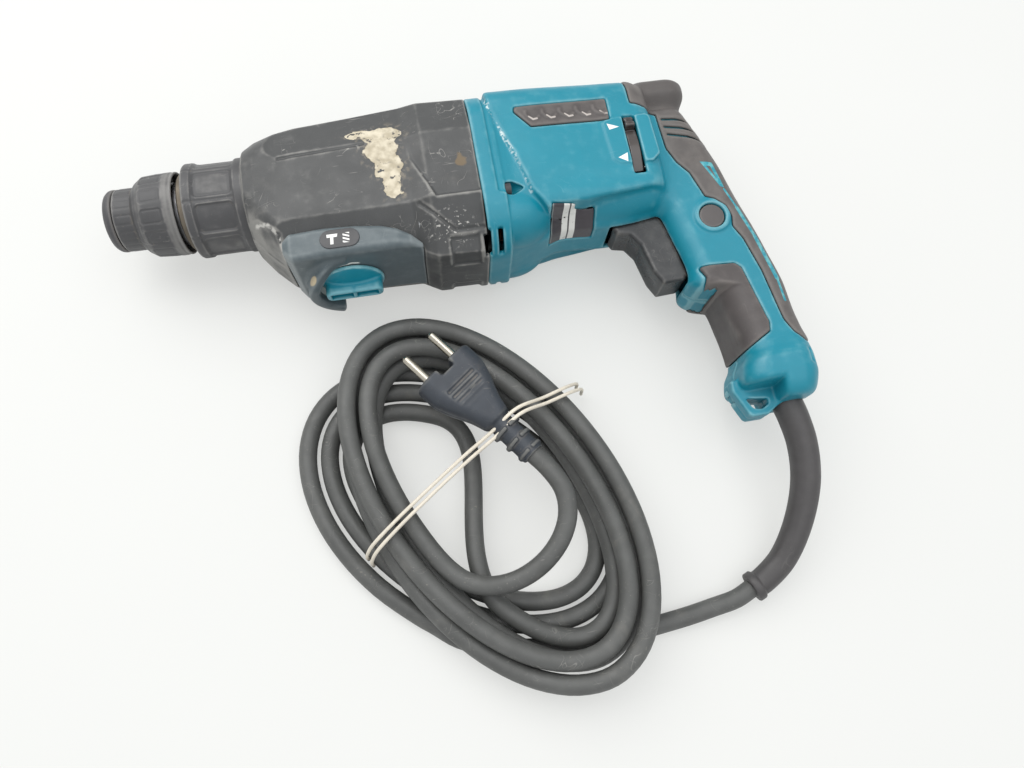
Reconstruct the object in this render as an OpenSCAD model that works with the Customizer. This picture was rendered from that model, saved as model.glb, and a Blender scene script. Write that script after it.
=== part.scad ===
// Corded rotary hammer with a pistol handle, lying on its right side.
// Modules are drawn with the barrel axis along X, the top of the tool towards +Y and its left side towards +Z.
// X = 0 is the joint between the gear housing and the motor housing. seat() moves it all to the table.

/* [Overall] */
// joint of the two housings to the front of the chuck
nose_reach = 201; // [185:1:240]
// barrel axis to the lowest point of the strap eye
handle_drop = 167; // [160:1:175]
// joint of the two housings to the back of the handle
back_reach = 160; // [159:1:166]
// half the width of the housings at their joint
half_width = 38.5; // [36:0.5:46]

/* [Chuck] */
// radius of the hole for the bit's shank
shank_r = 5.05; // [4.9:0.05:6.1]
// radius of the front cap and the narrow front of the chuck cover
cap_r = 17; // [16.5:0.5:20]
// radius of the chuck cover
cover_r = 22.5; // [21:0.5:24]
// how far the chuck cover is pulled back
cover_travel = 5; // [3:0.5:5]
// radius of the locking balls
ball_r = 3.5; // [2.5:0.5:3.5]

/* [Barrel] */
// radius of the collar that the side handle is clamped on
collar_r = 25.2; // [24.5:0.1:27]
// radius of the metal barrel in the collar
barrel_r = 22.8; // [21.5:0.1:23]

/* [Striking mechanism] */
// bore of the cylinder
cylinder_bore_r = 13; // [11:0.5:13.5]
// wall of the cylinder
cylinder_wall = 3; // [2.5:0.5:3]
// reach of the swash arm from its centre to its ball
arm_reach = 29; // [28:0.5:30]
// swing of the swash arm to each side, degrees
arm_swing = 15; // [10:1:16]

/* [Gears] */
// barrel axis down to the intermediate shaft
layshaft_drop = 33; // [32:0.5:34]
// barrel axis down to the motor axis
motor_drop = 13; // [12:0.5:13.5]
// teeth on the armature shaft
motor_teeth = 7; // [6:1:8]
// teeth on the first gear
first_teeth = 41; // [39:1:43]
// teeth on the drive pinion of the intermediate shaft
drive_teeth = 10; // [9:1:12]
// teeth on the spindle gear
spindle_teeth = 50; // [46:1:52]

/* [Motor] */
// radius of the field
field_r = 31; // [29:0.5:31]
// radius of the armature core
core_r = 19.5; // [17:0.5:20]
// radius of the commutator
commutator_r = 12.5; // [10.5:0.5:13]
// radius of the armature shaft
shaft_r = 4; // [3.5:0.5:4]

/* [Controls] */
// swing of the reversing lever, degrees
lever_swing = 42; // [30:1:42]
// swing of the trigger, degrees
trigger_swing = 7; // [4:1:7]
// radius of the lock button
button_r = 7.1; // [6:0.1:8.5]
// how far the lock button is pressed
button_travel = 3; // [2:0.5:3]
// radius of the mode knob
knob_r = 16.8; // [14:0.2:17]

/* [Shells] */
// wall of the plastic shells
wall = 2.6; // [2.2:0.1:3.1]
// gap between fixed pieces that don't touch
gap = 0.3; // [0.2:0.05:0.5]
// radial gap of a running or sliding fit
fit = 0.05; // [0.03:0.01:0.08]

/* [Cord] */
// diameter of the cord
cord_d = 10; // [8:0.5:10]
// sides of the cord's cross-section
cord_sides = 6; // [6:1:8]

/* [Hidden] */
$fn = 48;
chord = 3;                                   // steps in a rounded corner of a shell
touch = 0.001;
nose_x = -nose_reach;
cap_length = 5.5;
cover_x = nose_x + cap_length + gap;          // front of the chuck cover
cover_end = nose_x + 39.2;
collar_x = nose_x + 44.5;
collar_end = nose_x + 77;                    // where the gear housing starts
holder_front_r = 12;
holder_r = 14;
ring_in_r = shank_r + 0.25 + 2 * ball_r + gap;
lip_r = cover_r - 1.5;                        // front lip of the barrel, the cover slides over it
seat_r = 18.2;                               // spring seat on the tool holder
holder_back_r = 15;
holder_end = -112;                           // tool holder meets the cylinder
bolt_bore_r = 8;
ball_x = nose_x + 28;
ball_out = shank_r + 0.25 + ball_r;
cam_r = 3.4;                                  // throw of the mode knob's pin
bearing_x = collar_end - 14;
bearing_r = 19;
cylinder_r = cylinder_bore_r + cylinder_wall;
cylinder_end = -65.2;
seat_x = -72;                                // bearing ring of the inner housing
gear_x = -96;
gear_width = 9;
mech_module = 2 * layshaft_drop / (drive_teeth + spindle_teeth);
stage_drop = layshaft_drop - motor_drop;
motor_module = 2 * stage_drop / (motor_teeth + first_teeth);
swash_x = -57;
swash_r = 16.5;
race_r = 14.9;
swash_ball_r = 2;
swash_tilt = 15;
arm_ball_r = 4;
first_gear_x = -46;
first_gear_width = 8;
plate_x = -35;                               // inner housing's bulkhead
plate_t = 8;
layshaft_r = 4;
lay_bearing_r = 9;
motor_end = 101;                             // flat end of the round motor housing
flange_t = 12.5;
field_x = 16;
field_length = 36;
commutator_x = 61;
commutator_length = 17;
brush_x = 64;
ring_x = 62;
ring_r = 27;
lever_x = 84;
rear_bearing_x = 92;
rear_bearing_r = 8;
knob_x = -74.5;
knob_z = 3;
pod_y = -54;
trigger_half = 11;
pivot_x = 93;
pivot_y = -43;
button_x = 124;
button_y = -56;
button_face = 22.6;
button_base = 12.8 + button_travel;
block_half = 34.5;                           // half width of the gear housing before its rear block
lay_bearing_gap = 1;
motor_bearing_r = layshaft_drop - motor_drop - lay_bearing_r - lay_bearing_gap;
cord_x = 146;
clamp_y = -149;
lever_tip = half_width - 0.1;

// sections of the gear housing: x, top, bottom, half width, corner radius
gear_sections = [
  [collar_end, 27.5, -30, 27.8, 25],
  [collar_end + 7, 30, -39, 30, 24],
  [-106, 31.6, -50, 32, 22],
  [-95, 33, pod_y, 33, 22],
  [-65, 35, pod_y, 33.6, 22],
  [-37, 37, -54.5, block_half, 22],
  [-27, 37, -59.5, half_width, 24],
  [0, 36.5, -60.5, half_width, 25]
];
// sections of the motor housing
motor_sections = [
  [flange_t, 34.6, -57, half_width - 1.8, 28],
  [30, 34.3, -53, half_width - 1.8, 28],
  [45, 34, -48.6, half_width - 2.4, 27],
  [70, 33.6, -50, half_width - 4, 24],
  [92, 33, -48, half_width - 5, 20],
  [motor_end, 31.5, -44, half_width - 9, 16]
];
// sections of the handle: height y, front x, back x, half width, corner radius
handle_sections = [
  [14, 88, 124, 24, 10],
  [8, 88, 126.5, 24, 11],
  [-22, 90, 137.5, 24, 12],
  [-42, 97, 142.5, 23, 12],
  [-62, 101.5, 148.5, 22, 12],
  [-84, 105.4, 153.6, 22, 12],
  [-90, 104.5, 155, 22, 12],
  [-95, 109, 156, 22, 12],
  [-99, 120, 156.6, 22, 12],
  [-113, 122.5, 157.4, 22, 12],
  [-124, 124, 158.6, 22.5, 12],
  [-134, 124.8, back_reach, 24, 12],
  [-142, 121, back_reach, 26, 12],
  [clamp_y, 119.5, back_reach, 26, 12],
  [-154, 120, back_reach - 1, 25.5, 12],
  [-162, 128, back_reach - 4, 22, 10]
];
screw_spots = [for (side = [-1, 1]) each [[28, side * (half_width - 13.5)], [-31, side * (half_width - 5)]]];
handle_screw_spots = [[112, 2], [147, -100], [129, -112], [128, -146.5]];

mid_x = (back_reach - nose_reach) / 2;
top_y = 38;
mid_y = (top_y - handle_drop) / 2;

// ---- shared shapes ----

// moves the drawing from the barrel axis to the table, centred
module seat() {
  translate([-mid_x, -mid_y, half_width]) children();
}

// solid of revolution about an axis along X: profile points are [x, radius]
module turned(profile) {
  rotate([0, 90, 0]) rotate_extrude() polygon([for (p = profile) [p[1], p[0]]]);
}

// round tube along X from x0 to x1
module tube_x(x0, x1, inner, outer) {
  turned([[x0, inner], [x1, inner], [x1, outer], [x0, outer]]);
}

// round bar along X
module bar_x(x0, x1, r) {
  translate([x0, 0, 0]) rotate([0, 90, 0]) cylinder(h = x1 - x0, r = r);
}

// prism along Z from z0 to z1 with its outline in the XY plane
module slab(z0, z1, outline) {
  translate([0, 0, z0]) linear_extrude(height = z1 - z0) polygon(outline);
}

// prism along X with its outline in the YZ plane
module slab_x(x0, x1, outline) {
  translate([x0, 0, 0]) rotate([90, 0, 90]) linear_extrude(height = x1 - x0) polygon(outline);
}

function arc(cx, cy, r, from, to, steps) =
  [for (i = [0:steps]) [cx + r * cos(from + (to - from) * i / steps), cy + r * sin(from + (to - from) * i / steps)]];

// rounded rectangle
function rounded(u0, u1, v0, v1, r, steps) = concat(
  arc(u1 - r, v1 - r, r, 0, 90, steps),
  arc(u0 + r, v1 - r, r, 90, 180, steps),
  arc(u0 + r, v0 + r, r, 180, 270, steps),
  arc(u1 - r, v0 + r, r, 270, 360, steps));

// half of a rounded rectangle, flat on v = 0; side is 1 or -1
function half_rounded(u0, u1, v1, r, steps) = concat(
  [[u1, 0]],
  arc(u1 - r, v1 - r, r, 0, 90, steps),
  arc(u0 + r, v1 - r, r, 90, 180, steps),
  [[u0, 0]]);

// skin over rings of points, closed at both ends
module skin(rings) {
  m = len(rings[0]);
  last = (len(rings) - 1) * m;
  polyhedron(
    points = [for (ring = rings) each ring],
    faces = concat(
      [[for (j = [0:m - 1]) j]],
      [[for (j = [0:m - 1]) last + m - 1 - j]],
      [for (i = [0:len(rings) - 2]) for (j = [0:m - 1])
        [i * m + j, (i + 1) * m + j, (i + 1) * m + (j + 1) % m]],
      [for (i = [0:len(rings) - 2]) for (j = [0:m - 1])
        [i * m + j, (i + 1) * m + (j + 1) % m, i * m + (j + 1) % m]]));
}

// body over sections [x, top, bottom, half width, corner radius], made smaller all round by inset
module x_body(sections, inset) {
  skin([for (s = sections)
    [for (p = rounded(s[2] + inset, s[1] - inset, inset - s[3], s[3] - inset, s[4] - min(inset, s[4] / 2), chord))
      [s[0], p[0], p[1]]]]);
}

// handle half over sections [y, front, back, half width, corner radius]; side is 1 (left) or -1 (right)
module handle_half(sections, inset, side) {
  mirror([0, 0, side > 0 ? 0 : 1])
    skin([for (s = sections)
      [for (p = half_rounded(s[1] + inset, s[2] - inset, s[3] - inset, s[4] - min(inset, s[4] / 2), chord))
        [p[0], s[0], p[1]]]]);
}

// both halves of the handle at once
module handle_body(sections, inset) {
  skin([for (s = sections)
    [for (p = rounded(s[1] + inset, s[2] - inset, inset - s[3], s[3] - inset, s[4] - min(inset, s[4] / 2), chord))
      [p[0], s[0], p[1]]]]);
}

function unit(v) = v / norm(v);

// direction of a route at point i
function heading(route, i) =
  unit(route[min(i + 1, len(route) - 1)] - route[max(i - 1, 0)]);

// round tube swept along a route of points, radius from a list of the same length
module swept(route, radii, sides, up) {
  skin([for (i = [0:len(route) - 1])
    let (t = heading(route, i), u = unit(cross(up, t)), v = cross(t, u))
    [for (k = [0:sides - 1])
      let (a = 360 * (k + 0.5) / sides)
      route[i] + radii[i] * (u * cos(a) + v * sin(a))]]);
}

// point on a smooth curve between two points with given directions and strength
function blend(p, q, dp, dq, t) =
  p * (2 * t * t * t - 3 * t * t + 1) + dp * (t * t * t - 2 * t * t + t)
  + q * (3 * t * t - 2 * t * t * t) + dq * (t * t * t - t * t);

function ease(t) = let (s = min(max(t, 0), 1)) s * s * (3 - 2 * s);

// involute gear outline; thickness is the share of the pitch that a tooth fills
function involute(angle) = tan(angle) * 180 / PI - angle;
function tooth_half(r, pitch, base, teeth, thickness) =
  180 * thickness / teeth + involute(20) - (r > base ? involute(acos(base / r)) : 0);
function gear_outline(teeth, size, turn, thickness = 0.45) =
  let (pitch = teeth * size / 2, base = pitch * cos(20), tip = pitch + 0.78 * size,
    root = pitch - 1.15 * size, first = max(base, root + 0.1 * size),
    radii = [root, first, (first + pitch) / 2, pitch, (pitch + tip) / 2, tip])
  [for (k = [0:teeth - 1]) each
    let (centre = turn + 360 * k / teeth)
    concat(
      [for (i = [0:5])
        let (h = tooth_half(max(radii[i], base), pitch, base, teeth, thickness) * (i == 0 ? 0.8 : 1))
        [radii[i] * cos(centre - h), radii[i] * sin(centre - h)]],
      [for (i = [5:-1:0])
        let (h = tooth_half(max(radii[i], base), pitch, base, teeth, thickness) * (i == 0 ? 0.8 : 1))
        [radii[i] * cos(centre + h), radii[i] * sin(centre + h)]])];

// helical spring along X made as one swept wire
module coil_x(x0, x1, r0, r1, wire, turns, steps) {
  route = [for (i = [0:turns * steps])
    let (f = i / (turns * steps), r = r0 + (r1 - r0) * f)
    [x0 + wire + (x1 - x0 - 2 * wire) * f, r * cos(360 * f * turns), r * sin(360 * f * turns)]];
  swept(route, [for (p = route) wire], 6, [1, 0, 0]);
}

// ---- chuck ----

module front_cap() {
  color([0.18, 0.18, 0.19])
    turned([[nose_x, shank_r + 2], [nose_x, cap_r - 4], [nose_x + 1, cap_r - 1.6], [nose_x + 2.6, cap_r - 0.3],
      [nose_x + 4, cap_r], [nose_x + cap_length, cap_r], [nose_x + cap_length, holder_front_r],
      [nose_x + 2, holder_front_r], [nose_x + 2, shank_r + 2]]);
}

module chuck_cover() {
  color([0.2, 0.2, 0.21])
    difference() {
      turned([[cover_x, holder_front_r + fit], [cover_x, cap_r - 0.4], [cover_x + 0.5, cap_r], [cover_x + 10, cap_r],
        [cover_x + 12, cap_r + 2.4], [cover_x + 16, cover_r - 0.4], [cover_x + 24, cover_r],
        [cover_end, cover_r - 0.2], [cover_end, lip_r + 0.2], [ball_x + 2.5, lip_r + 0.2], [ball_x + 2.5, cover_r - 3],
        [ball_x - 8, cover_r - 3], [ball_x - 8, holder_front_r + fit]]);
      for (i = [0:11])
        rotate([i * 30, 0, 0])
          translate([cover_x + 17, cover_r - 0.7, -3])
            cube([11, 2, 6]);
    }
}

module chuck_ring() {
  color([0.6, 0.6, 0.62])
    tube_x(ball_x - 2.5, ball_x + 2.5, ring_in_r, cover_r - 3);
}

module locking_balls() {
  color([0.75, 0.75, 0.77])
    for (side = [-1, 1])
      translate([ball_x, 0, side * ball_out]) sphere(r = ball_r);
}

module chuck_spring() {
  color([0.6, 0.6, 0.62])
    coil_x(ball_x + 2.5 + touch, collar_x - 6 - touch, 18.2, 16.4, 0.7, 3, 14);
}

module tool_holder() {
  bolt_x = nose_x + 55;
  step_x = ball_x + 3 + cover_travel + 1;
  color([0.55, 0.55, 0.57])
    difference() {
      turned([[nose_x + 2, shank_r], [nose_x + 2, holder_front_r], [step_x, holder_front_r], [step_x, holder_r],
        [collar_x - 6, holder_r], [collar_x - 6, seat_r], [collar_x - 4.4, seat_r], [collar_x - 4.4, holder_back_r],
        [holder_end, holder_back_r], [holder_end, bolt_bore_r], [bolt_x, bolt_bore_r], [bolt_x - 3, shank_r]]);
      for (side = [-1, 1])
        translate([ball_x, 0, side * ball_out]) {
          sphere(r = ball_r + 0.1);
          translate([0, 0, side > 0 ? 0 : -10]) cylinder(h = 10, r = ball_r + 0.1);
          translate([0, 0, side > 0 ? -6 : 0]) cylinder(h = 6, r = ball_r - 1.1);
        }
    }
}

module impact_bolt() {
  front = nose_x + 57;
  color([0.5, 0.5, 0.52])
    turned([[front, 0], [front, 6], [front + 5, 6.5], [front + 6, bolt_bore_r - fit],
      [holder_end - 12, bolt_bore_r - fit], [holder_end - 11, 5.5], [-107, 5.5], [-107, 0]]);
}

module striker() {
  groove = -96;
  color([0.5, 0.5, 0.52])
    turned([[-103, 0], [-103, 5.5], [-101, 6], [-101, cylinder_bore_r - 1], [-100, cylinder_bore_r - fit],
      [groove - 1.5, cylinder_bore_r - fit], [groove - 1.5, cylinder_bore_r - 2], [groove + 1.5, cylinder_bore_r - 2],
      [groove + 1.5, cylinder_bore_r - fit], [-89, cylinder_bore_r - fit], [-89, 0]]);
}

module striker_seal() {
  color([0.1, 0.1, 0.1])
    tube_x(-97.4, -94.6, cylinder_bore_r - 2, cylinder_bore_r - fit);
}

// ---- spindle ----

module cylinder_tube() {
  color([0.55, 0.55, 0.57])
    tube_x(holder_end, cylinder_end, cylinder_bore_r, cylinder_r);
}

module piston() {
  back = -50;
  color([0.7, 0.7, 0.68])
    difference() {
      union() {
        turned([[-76, 0], [-76, cylinder_bore_r - 1], [-75.4, cylinder_bore_r - fit],
          [-63, cylinder_bore_r - fit], [-63, 0]]);
        intersection() {
          translate([-63.5, -7.6, -9]) cube([back + 63.5, 16.4, 18]);
          bar_x(-64, back, cylinder_bore_r - fit);
        }
      }
      translate([swash_x, 0, 0]) rotate([90, 0, 0]) cylinder(h = 24, r = arm_ball_r + 0.15, center = true);
    }
}

module spindle_gear() {
  color([0.5, 0.5, 0.52])
    difference() {
      slab_x(gear_x, gear_x + gear_width, gear_outline(spindle_teeth, mech_module, -180));
      bar_x(gear_x - 1, gear_x + gear_width + 1, cylinder_r);
    }
}

module clutch_spring() {
  color([0.6, 0.6, 0.62])
    coil_x(gear_x + gear_width + touch, seat_x - 1, cylinder_r + 1.8, cylinder_r + 1.8, 1.4, 3, 16);
}

// ---- barrel and gear housing ----

module front_bearing() {
  color([0.62, 0.62, 0.64])
    tube_x(bearing_x - 14, bearing_x, holder_back_r + fit, bearing_r);
}

module oil_seal() {
  color([0.15, 0.1, 0.1])
    tube_x(collar_x + 0.5, collar_x + 4.4, holder_back_r + fit, bearing_r);
}

module barrel() {
  lobe = lay_bearing_r + 2.5;
  color([0.62, 0.63, 0.64])
    difference() {
      union() {
        turned([[collar_x - 3.5, bearing_r - 2], [collar_x - 3.5, lip_r - 0.6], [collar_x - 2.9, lip_r],
          [collar_x, lip_r], [collar_x, barrel_r], [-112, barrel_r], [-112, bearing_r - 2]]);
        bar_x(-112, -104, 26);
        translate([0, -layshaft_drop, 0]) bar_x(-112, -104, lobe);
        translate([-112, -layshaft_drop, -lobe]) cube([8, layshaft_drop, 2 * lobe]);
      }
      bar_x(collar_x - 5, -103, bearing_r - 1);
      bar_x(collar_x + 0.5, collar_x + 4.4, bearing_r);
      slab(-12, 12, [[-113, -41.2], [-112, -41.2], [-108.7, -44.6], [-108.7, -46], [-113, -46]]);
      bar_x(bearing_x - 14, bearing_x, bearing_r);
      translate([0, -layshaft_drop, 0]) bar_x(-111, -103, lay_bearing_r);
    }
}

module barrel_collar() {
  rib = 1.2;
  color([0.22, 0.22, 0.23])
    difference() {
      turned([[collar_x, barrel_r], [collar_x, collar_r], [collar_x + 0.6, collar_r + 0.7], [collar_x + 5, collar_r + 0.7],
        [collar_x + 6, collar_r], [collar_end - 5, collar_r], [collar_end - 4.4, collar_r + 0.6],
        [collar_end, collar_r + 0.6], [collar_end, barrel_r]]);
      for (i = [0:5])
        rotate([15 + i * 60, 0, 0])
          translate([collar_x + 6, collar_r - 0.7, -6])
            cube([collar_end - collar_x - 12, 3, 4]);
    }
}

// volume that the mode cover fills at the lower left of the gear housing
module mode_volume(inset) {
  low = pod_y - 0.6;
  spots = [[-106, -43, -49, 30, 2.4], [-99, -38.5, low, 33.4, 4], [-60, -38.5, low, 34, 5], [-46, -43, low, 34, 6],
    [-33.4, -46.5, low, 29, 3]];
  skin([for (i = [0:4])
    let (s = spots[i], x = s[0] + (i == 0 ? inset : (i == 4 ? -inset : 0)))
    [for (p = rounded(s[2] + inset, s[1], -17.6 + inset, s[3] - inset, max(s[4] - inset, 1), 2)) [x, p[0], p[1]]]]);
}

module gear_cover() {
  last = len(gear_sections) - 1;
  inside = [for (i = [0:last])
    let (s = gear_sections[i])
    [i == 0 ? s[0] + wall : (i == last ? 1 : s[0]), s[1], s[2], s[3], s[4]]];
  color([0.36, 0.37, 0.38])
    difference() {
      x_body(gear_sections, 0);
      difference() {
        x_body(inside, wall);
        for (s = screw_spots)
          translate([0, s[0], s[1]]) bar_x(-16, 0, 4.4);
      }
      bar_x(collar_end - 1, -110, barrel_r);
      mode_volume(0);
      for (s = screw_spots)
        translate([0, s[0], s[1]]) bar_x(-14, 1, 2);
    }
}

module inner_housing() {
  top = 37 - wall - 0.2;
  low = -51.6;
  wide = block_half - wall - 0.1;
  tunnel_r = cylinder_r + 4;
  color([0.6, 0.61, 0.62])
    difference() {
      union() {
        slab_x(plate_x, plate_x + plate_t, rounded(low, top, -wide, wide, 19.2, 6));
        bar_x(seat_x, seat_x + 4.4, tunnel_r);
        intersection() {
          bar_x(seat_x, plate_x + 1, tunnel_r);
          translate([seat_x, 8, -30]) cube([plate_x + 1 - seat_x, 30, 60]);
        }
      }
      bar_x(seat_x - 1, seat_x + 5, cylinder_r + fit);
      bar_x(seat_x + 4, plate_x, cylinder_r + 1);
      translate([0, -layshaft_drop, 0]) bar_x(plate_x - 1, plate_x + 6.5, lay_bearing_r);
      translate([0, -motor_drop, 0]) {
        bar_x(plate_x + 1.5, plate_x + plate_t + 1, motor_bearing_r);
        bar_x(plate_x - 1, plate_x + 2, shaft_r + 2);
      }
    }
}

module mode_cover() {
  lip_inner = knob_r + 1.4;
  lip_outer = lip_inner + 4;
  color([0.42, 0.46, 0.47])
    difference() {
      union() {
        difference() {
          mode_volume(0);
          mode_volume(wall - 0.2);
        }
        translate([knob_x, pod_y - 10, knob_z]) rotate([-90, 0, 0])
          linear_extrude(height = 10)
            polygon(concat(arc(0, 0, lip_outer, 112, 245, 14), arc(0, 0, lip_inner, 245, 112, 14)));
      }
      translate([knob_x, 0, knob_z]) rotate([90, 0, 0]) cylinder(h = 80, r = 5 + fit);
      translate([0, 0, -20]) linear_extrude(height = 46.8)
        polygon([[-107, -45.2], [-103, -45.2], [-103, -52.1], [plate_x + 4.9, -52.1],
                 [plate_x + 4.9, -31], [-107, -31]]);
    }
}

module mode_badge() {
  color([0.12, 0.12, 0.12])
    translate([-76, -46.4, 33.95])
      linear_extrude(height = 0.6) {
        translate([-5, 0]) circle(r = 5.2);
        translate([5, 0]) circle(r = 5.2);
        translate([-5, -5.2]) square([10, 10.4]);
      }
}

module mode_knob() {
  face = pod_y - 0.8;
  color([0.1, 0.56, 0.66])
    translate([knob_x, face, knob_z]) {
      rotate([90, 0, 0]) cylinder(h = 3, r = knob_r);
      rotate([-90, 0, 0]) cylinder(h = 9, r = 5);
      difference() {
        translate([-knob_r + 1.5, -10, -4.6]) cube([2 * knob_r - 3, 8, 9.2]);
        translate([-knob_r + 3, -11, -3]) cube([9, 6, 6]);
        translate([-knob_r + 14, -11, -3]) cube([2 * knob_r - 18, 6, 6]);
      }
      translate([-cam_r * sin(45), 8, -cam_r * cos(45)]) rotate([-90, 0, 0]) cylinder(h = 5, r = 1.5);
    }
}

module shift_plate() {
  pin_x = knob_x - cam_r * sin(45);
  color([0.6, 0.6, 0.62])
    difference() {
      translate([pin_x - 9, pod_y + 9, knob_z - 8]) cube([13.5, 2.6, 16]);
      translate([pin_x - 2, pod_y + 8, knob_z - 6]) cube([4, 5, 12]);
    }
}

// ---- intermediate shaft ----

module layshaft() {
  color([0.55, 0.55, 0.57])
    translate([0, -layshaft_drop, 0]) bar_x(-110, -29.5, layshaft_r);
}

module drive_pinion() {
  color([0.5, 0.5, 0.52])
    translate([0, -layshaft_drop, 0])
      difference() {
        slab_x(gear_x - 1, gear_x + gear_width + 1, gear_outline(drive_teeth, mech_module, 180 / drive_teeth));
        bar_x(gear_x - 2, gear_x + gear_width + 2, layshaft_r);
      }
}

module first_gear() {
  color([0.5, 0.5, 0.52])
    translate([0, -layshaft_drop, 0])
      difference() {
        slab_x(first_gear_x, first_gear_x + first_gear_width, gear_outline(first_teeth, motor_module, 0));
        bar_x(first_gear_x - 1, first_gear_x + first_gear_width + 1, layshaft_r);
      }
}

module swash_hub() {
  color([0.5, 0.5, 0.52])
    translate([swash_x, -layshaft_drop, 0])
      difference() {
        union() {
          intersection() {
            sphere(r = 12.4);
            bar_x(-7, 7, 12.4);
          }
          bar_x(-9, 9, 7);
        }
        bar_x(-10, 10, layshaft_r);
        rotate([0, swash_tilt, 0])
          rotate([0, 90, 0]) rotate_extrude() translate([race_r - swash_ball_r - 0.03, 0]) circle(r = swash_ball_r + 0.03);
      }
}

module swash_balls() {
  count = 12;
  color([0.75, 0.75, 0.77])
    translate([swash_x, -layshaft_drop, 0])
      rotate([0, swash_tilt, 0])
        for (i = [0:count - 1])
          rotate([i * 360 / count, 0, 0])
            translate([0, race_r - swash_ball_r - 0.03, 0]) sphere(r = swash_ball_r);
}

module swash_arm() {
  edge = asin(5.5 / race_r);
  color([0.52, 0.52, 0.54])
    translate([swash_x, -layshaft_drop, 0]) {
      turned(concat([[-5.5, swash_r], [5.5, swash_r]],
        [for (i = [4:-1:-4]) [race_r * sin(edge * i / 4), race_r * cos(edge * i / 4)]]));
      translate([0, swash_r - 1, 0]) rotate([-90, 0, 0]) cylinder(h = arm_reach - swash_r, r = 2.6);
      translate([0, arm_reach, 0]) sphere(r = arm_ball_r);
    }
}

module layshaft_bearings() {
  color([0.65, 0.65, 0.67])
    translate([0, -layshaft_drop, 0]) {
      tube_x(-111, -104.5, layshaft_r + fit, lay_bearing_r);
      tube_x(plate_x, plate_x + 6.5, layshaft_r + fit, lay_bearing_r);
    }
}

// ---- motor ----

module armature_shaft() {
  color([0.55, 0.55, 0.57])
    translate([0, -motor_drop, 0]) {
      bar_x(first_gear_x + first_gear_width + 1, rear_bearing_x + 7, shaft_r);
      slab_x(first_gear_x - 0.5, first_gear_x + first_gear_width + 1,
        gear_outline(motor_teeth, motor_module, 180 + 180 / motor_teeth));
    }
}

module armature_core() {
  slots = 12;
  color([0.45, 0.38, 0.3])
    translate([0, -motor_drop, 0])
      difference() {
        bar_x(field_x, field_x + field_length, core_r);
        bar_x(field_x - 1, field_x + field_length + 1, shaft_r);
        for (i = [0:slots - 1])
          rotate([i * 360 / slots, 0, 0])
            translate([field_x - 1, core_r - 5, -0.9]) cube([field_length + 2, 6, 1.8]);
      }
}

module commutator() {
  bars = 24;
  color([0.72, 0.45, 0.25])
    translate([0, -motor_drop, 0])
      difference() {
        bar_x(commutator_x, commutator_x + commutator_length, commutator_r);
        bar_x(commutator_x - 1, commutator_x + commutator_length + 1, shaft_r);
        for (i = [0:bars - 1])
          rotate([i * 360 / bars, 0, 0])
            translate([commutator_x - 1, commutator_r - 1, -0.25]) cube([commutator_length + 2, 2, 0.5]);
      }
}

module fan() {
  blades = 11;
  fan_r = 27;
  color([0.15, 0.15, 0.16])
    translate([0, -motor_drop, 0])
      difference() {
        union() {
          bar_x(-8, -6, fan_r);
          bar_x(-14, -4, 9);
          for (i = [0:blades - 1])
            rotate([i * 360 / blades, 0, 0])
              translate([-15, 8, -0.8]) cube([8, fan_r - 8.5, 1.6]);
        }
        bar_x(-20, 0, shaft_r);
      }
}

module armature_bearings() {
  color([0.65, 0.65, 0.67])
    translate([0, -motor_drop, 0]) {
      tube_x(plate_x + 1.5, plate_x + plate_t, shaft_r + fit, motor_bearing_r);
      tube_x(rear_bearing_x, rear_bearing_x + 6.5, shaft_r + fit, rear_bearing_r);
    }
}

module field_core() {
  color([0.4, 0.4, 0.42])
    translate([0, -motor_drop, 0])
      tube_x(field_x, field_x + field_length, core_r + 0.7, field_r);
}

module field_coils() {
  color([0.6, 0.3, 0.15])
    translate([0, -motor_drop, 0]) {
      tube_x(field_x - 7, field_x, core_r + 1.5, field_r - 4);
      tube_x(field_x + field_length, field_x + field_length + 7, core_r + 1.5, field_r - 4);
    }
}

module baffle() {
  color([0.14, 0.14, 0.15])
    translate([0, -motor_drop, 0])
      tube_x(2, 5, core_r + 1.5, field_r + 0.8);
}

// ---- motor housing and handle ----

// strap eye: the base is narrowed to a plate round the hole
module strap_plate(side) {
  slab(side > 0 ? 0 : -7, side > 0 ? 7 : 0, [[116, -146], [115.5, -152], [121.5, -handle_drop + 1],
    [123, -handle_drop], [132, -handle_drop], [141, -161], [141, -146]]);
}

module strap_cut() {
  for (side = [0, 1])
    mirror([0, 0, side]) slab(7, 40, [[105, -154], [136.5, -154], [138, -175], [105, -175]]);
  slab(-8, 8, [[122, -155.5], [126.5, -163], [131, -163], [134.5, -160], [134.5, -155.5]]);
}

module screw_posts(side, r) {
  for (s = handle_screw_spots)
    translate([s[0], s[1], side > 0 ? 0 : -40]) cylinder(h = 40, r = r);
}

// hollow that the trigger swings in
module trigger_room() {
  slab(-trigger_half - 0.6, trigger_half + 0.6, [[60, -40], [82, -36], [104, -36], [112, -46], [119, -86], [105, -88.4],
    [60, -88.4]]);
}

// cheeks that hold the trigger's pin
module trigger_cheeks() {
  for (side = [0, 1])
    mirror([0, 0, side]) translate([86, -52, trigger_half + 0.6]) cube([13, 16, 3.4]);
}

module switch_room() {
  slab(-14, 14, [[104, -48], [136, -44], [146, -92], [116, -92]]);
}

module guard_hole() {
  translate([cord_x, -168, 0]) rotate([-90, 0, 0]) cylinder(h = 24, r = 8.6);
}

// hollow of one handle half
module handle_room(side) {
  handle_half([for (s = handle_sections) if (s[0] < 10 && s[0] > clamp_y - 1) s], wall, side);
}

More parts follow.
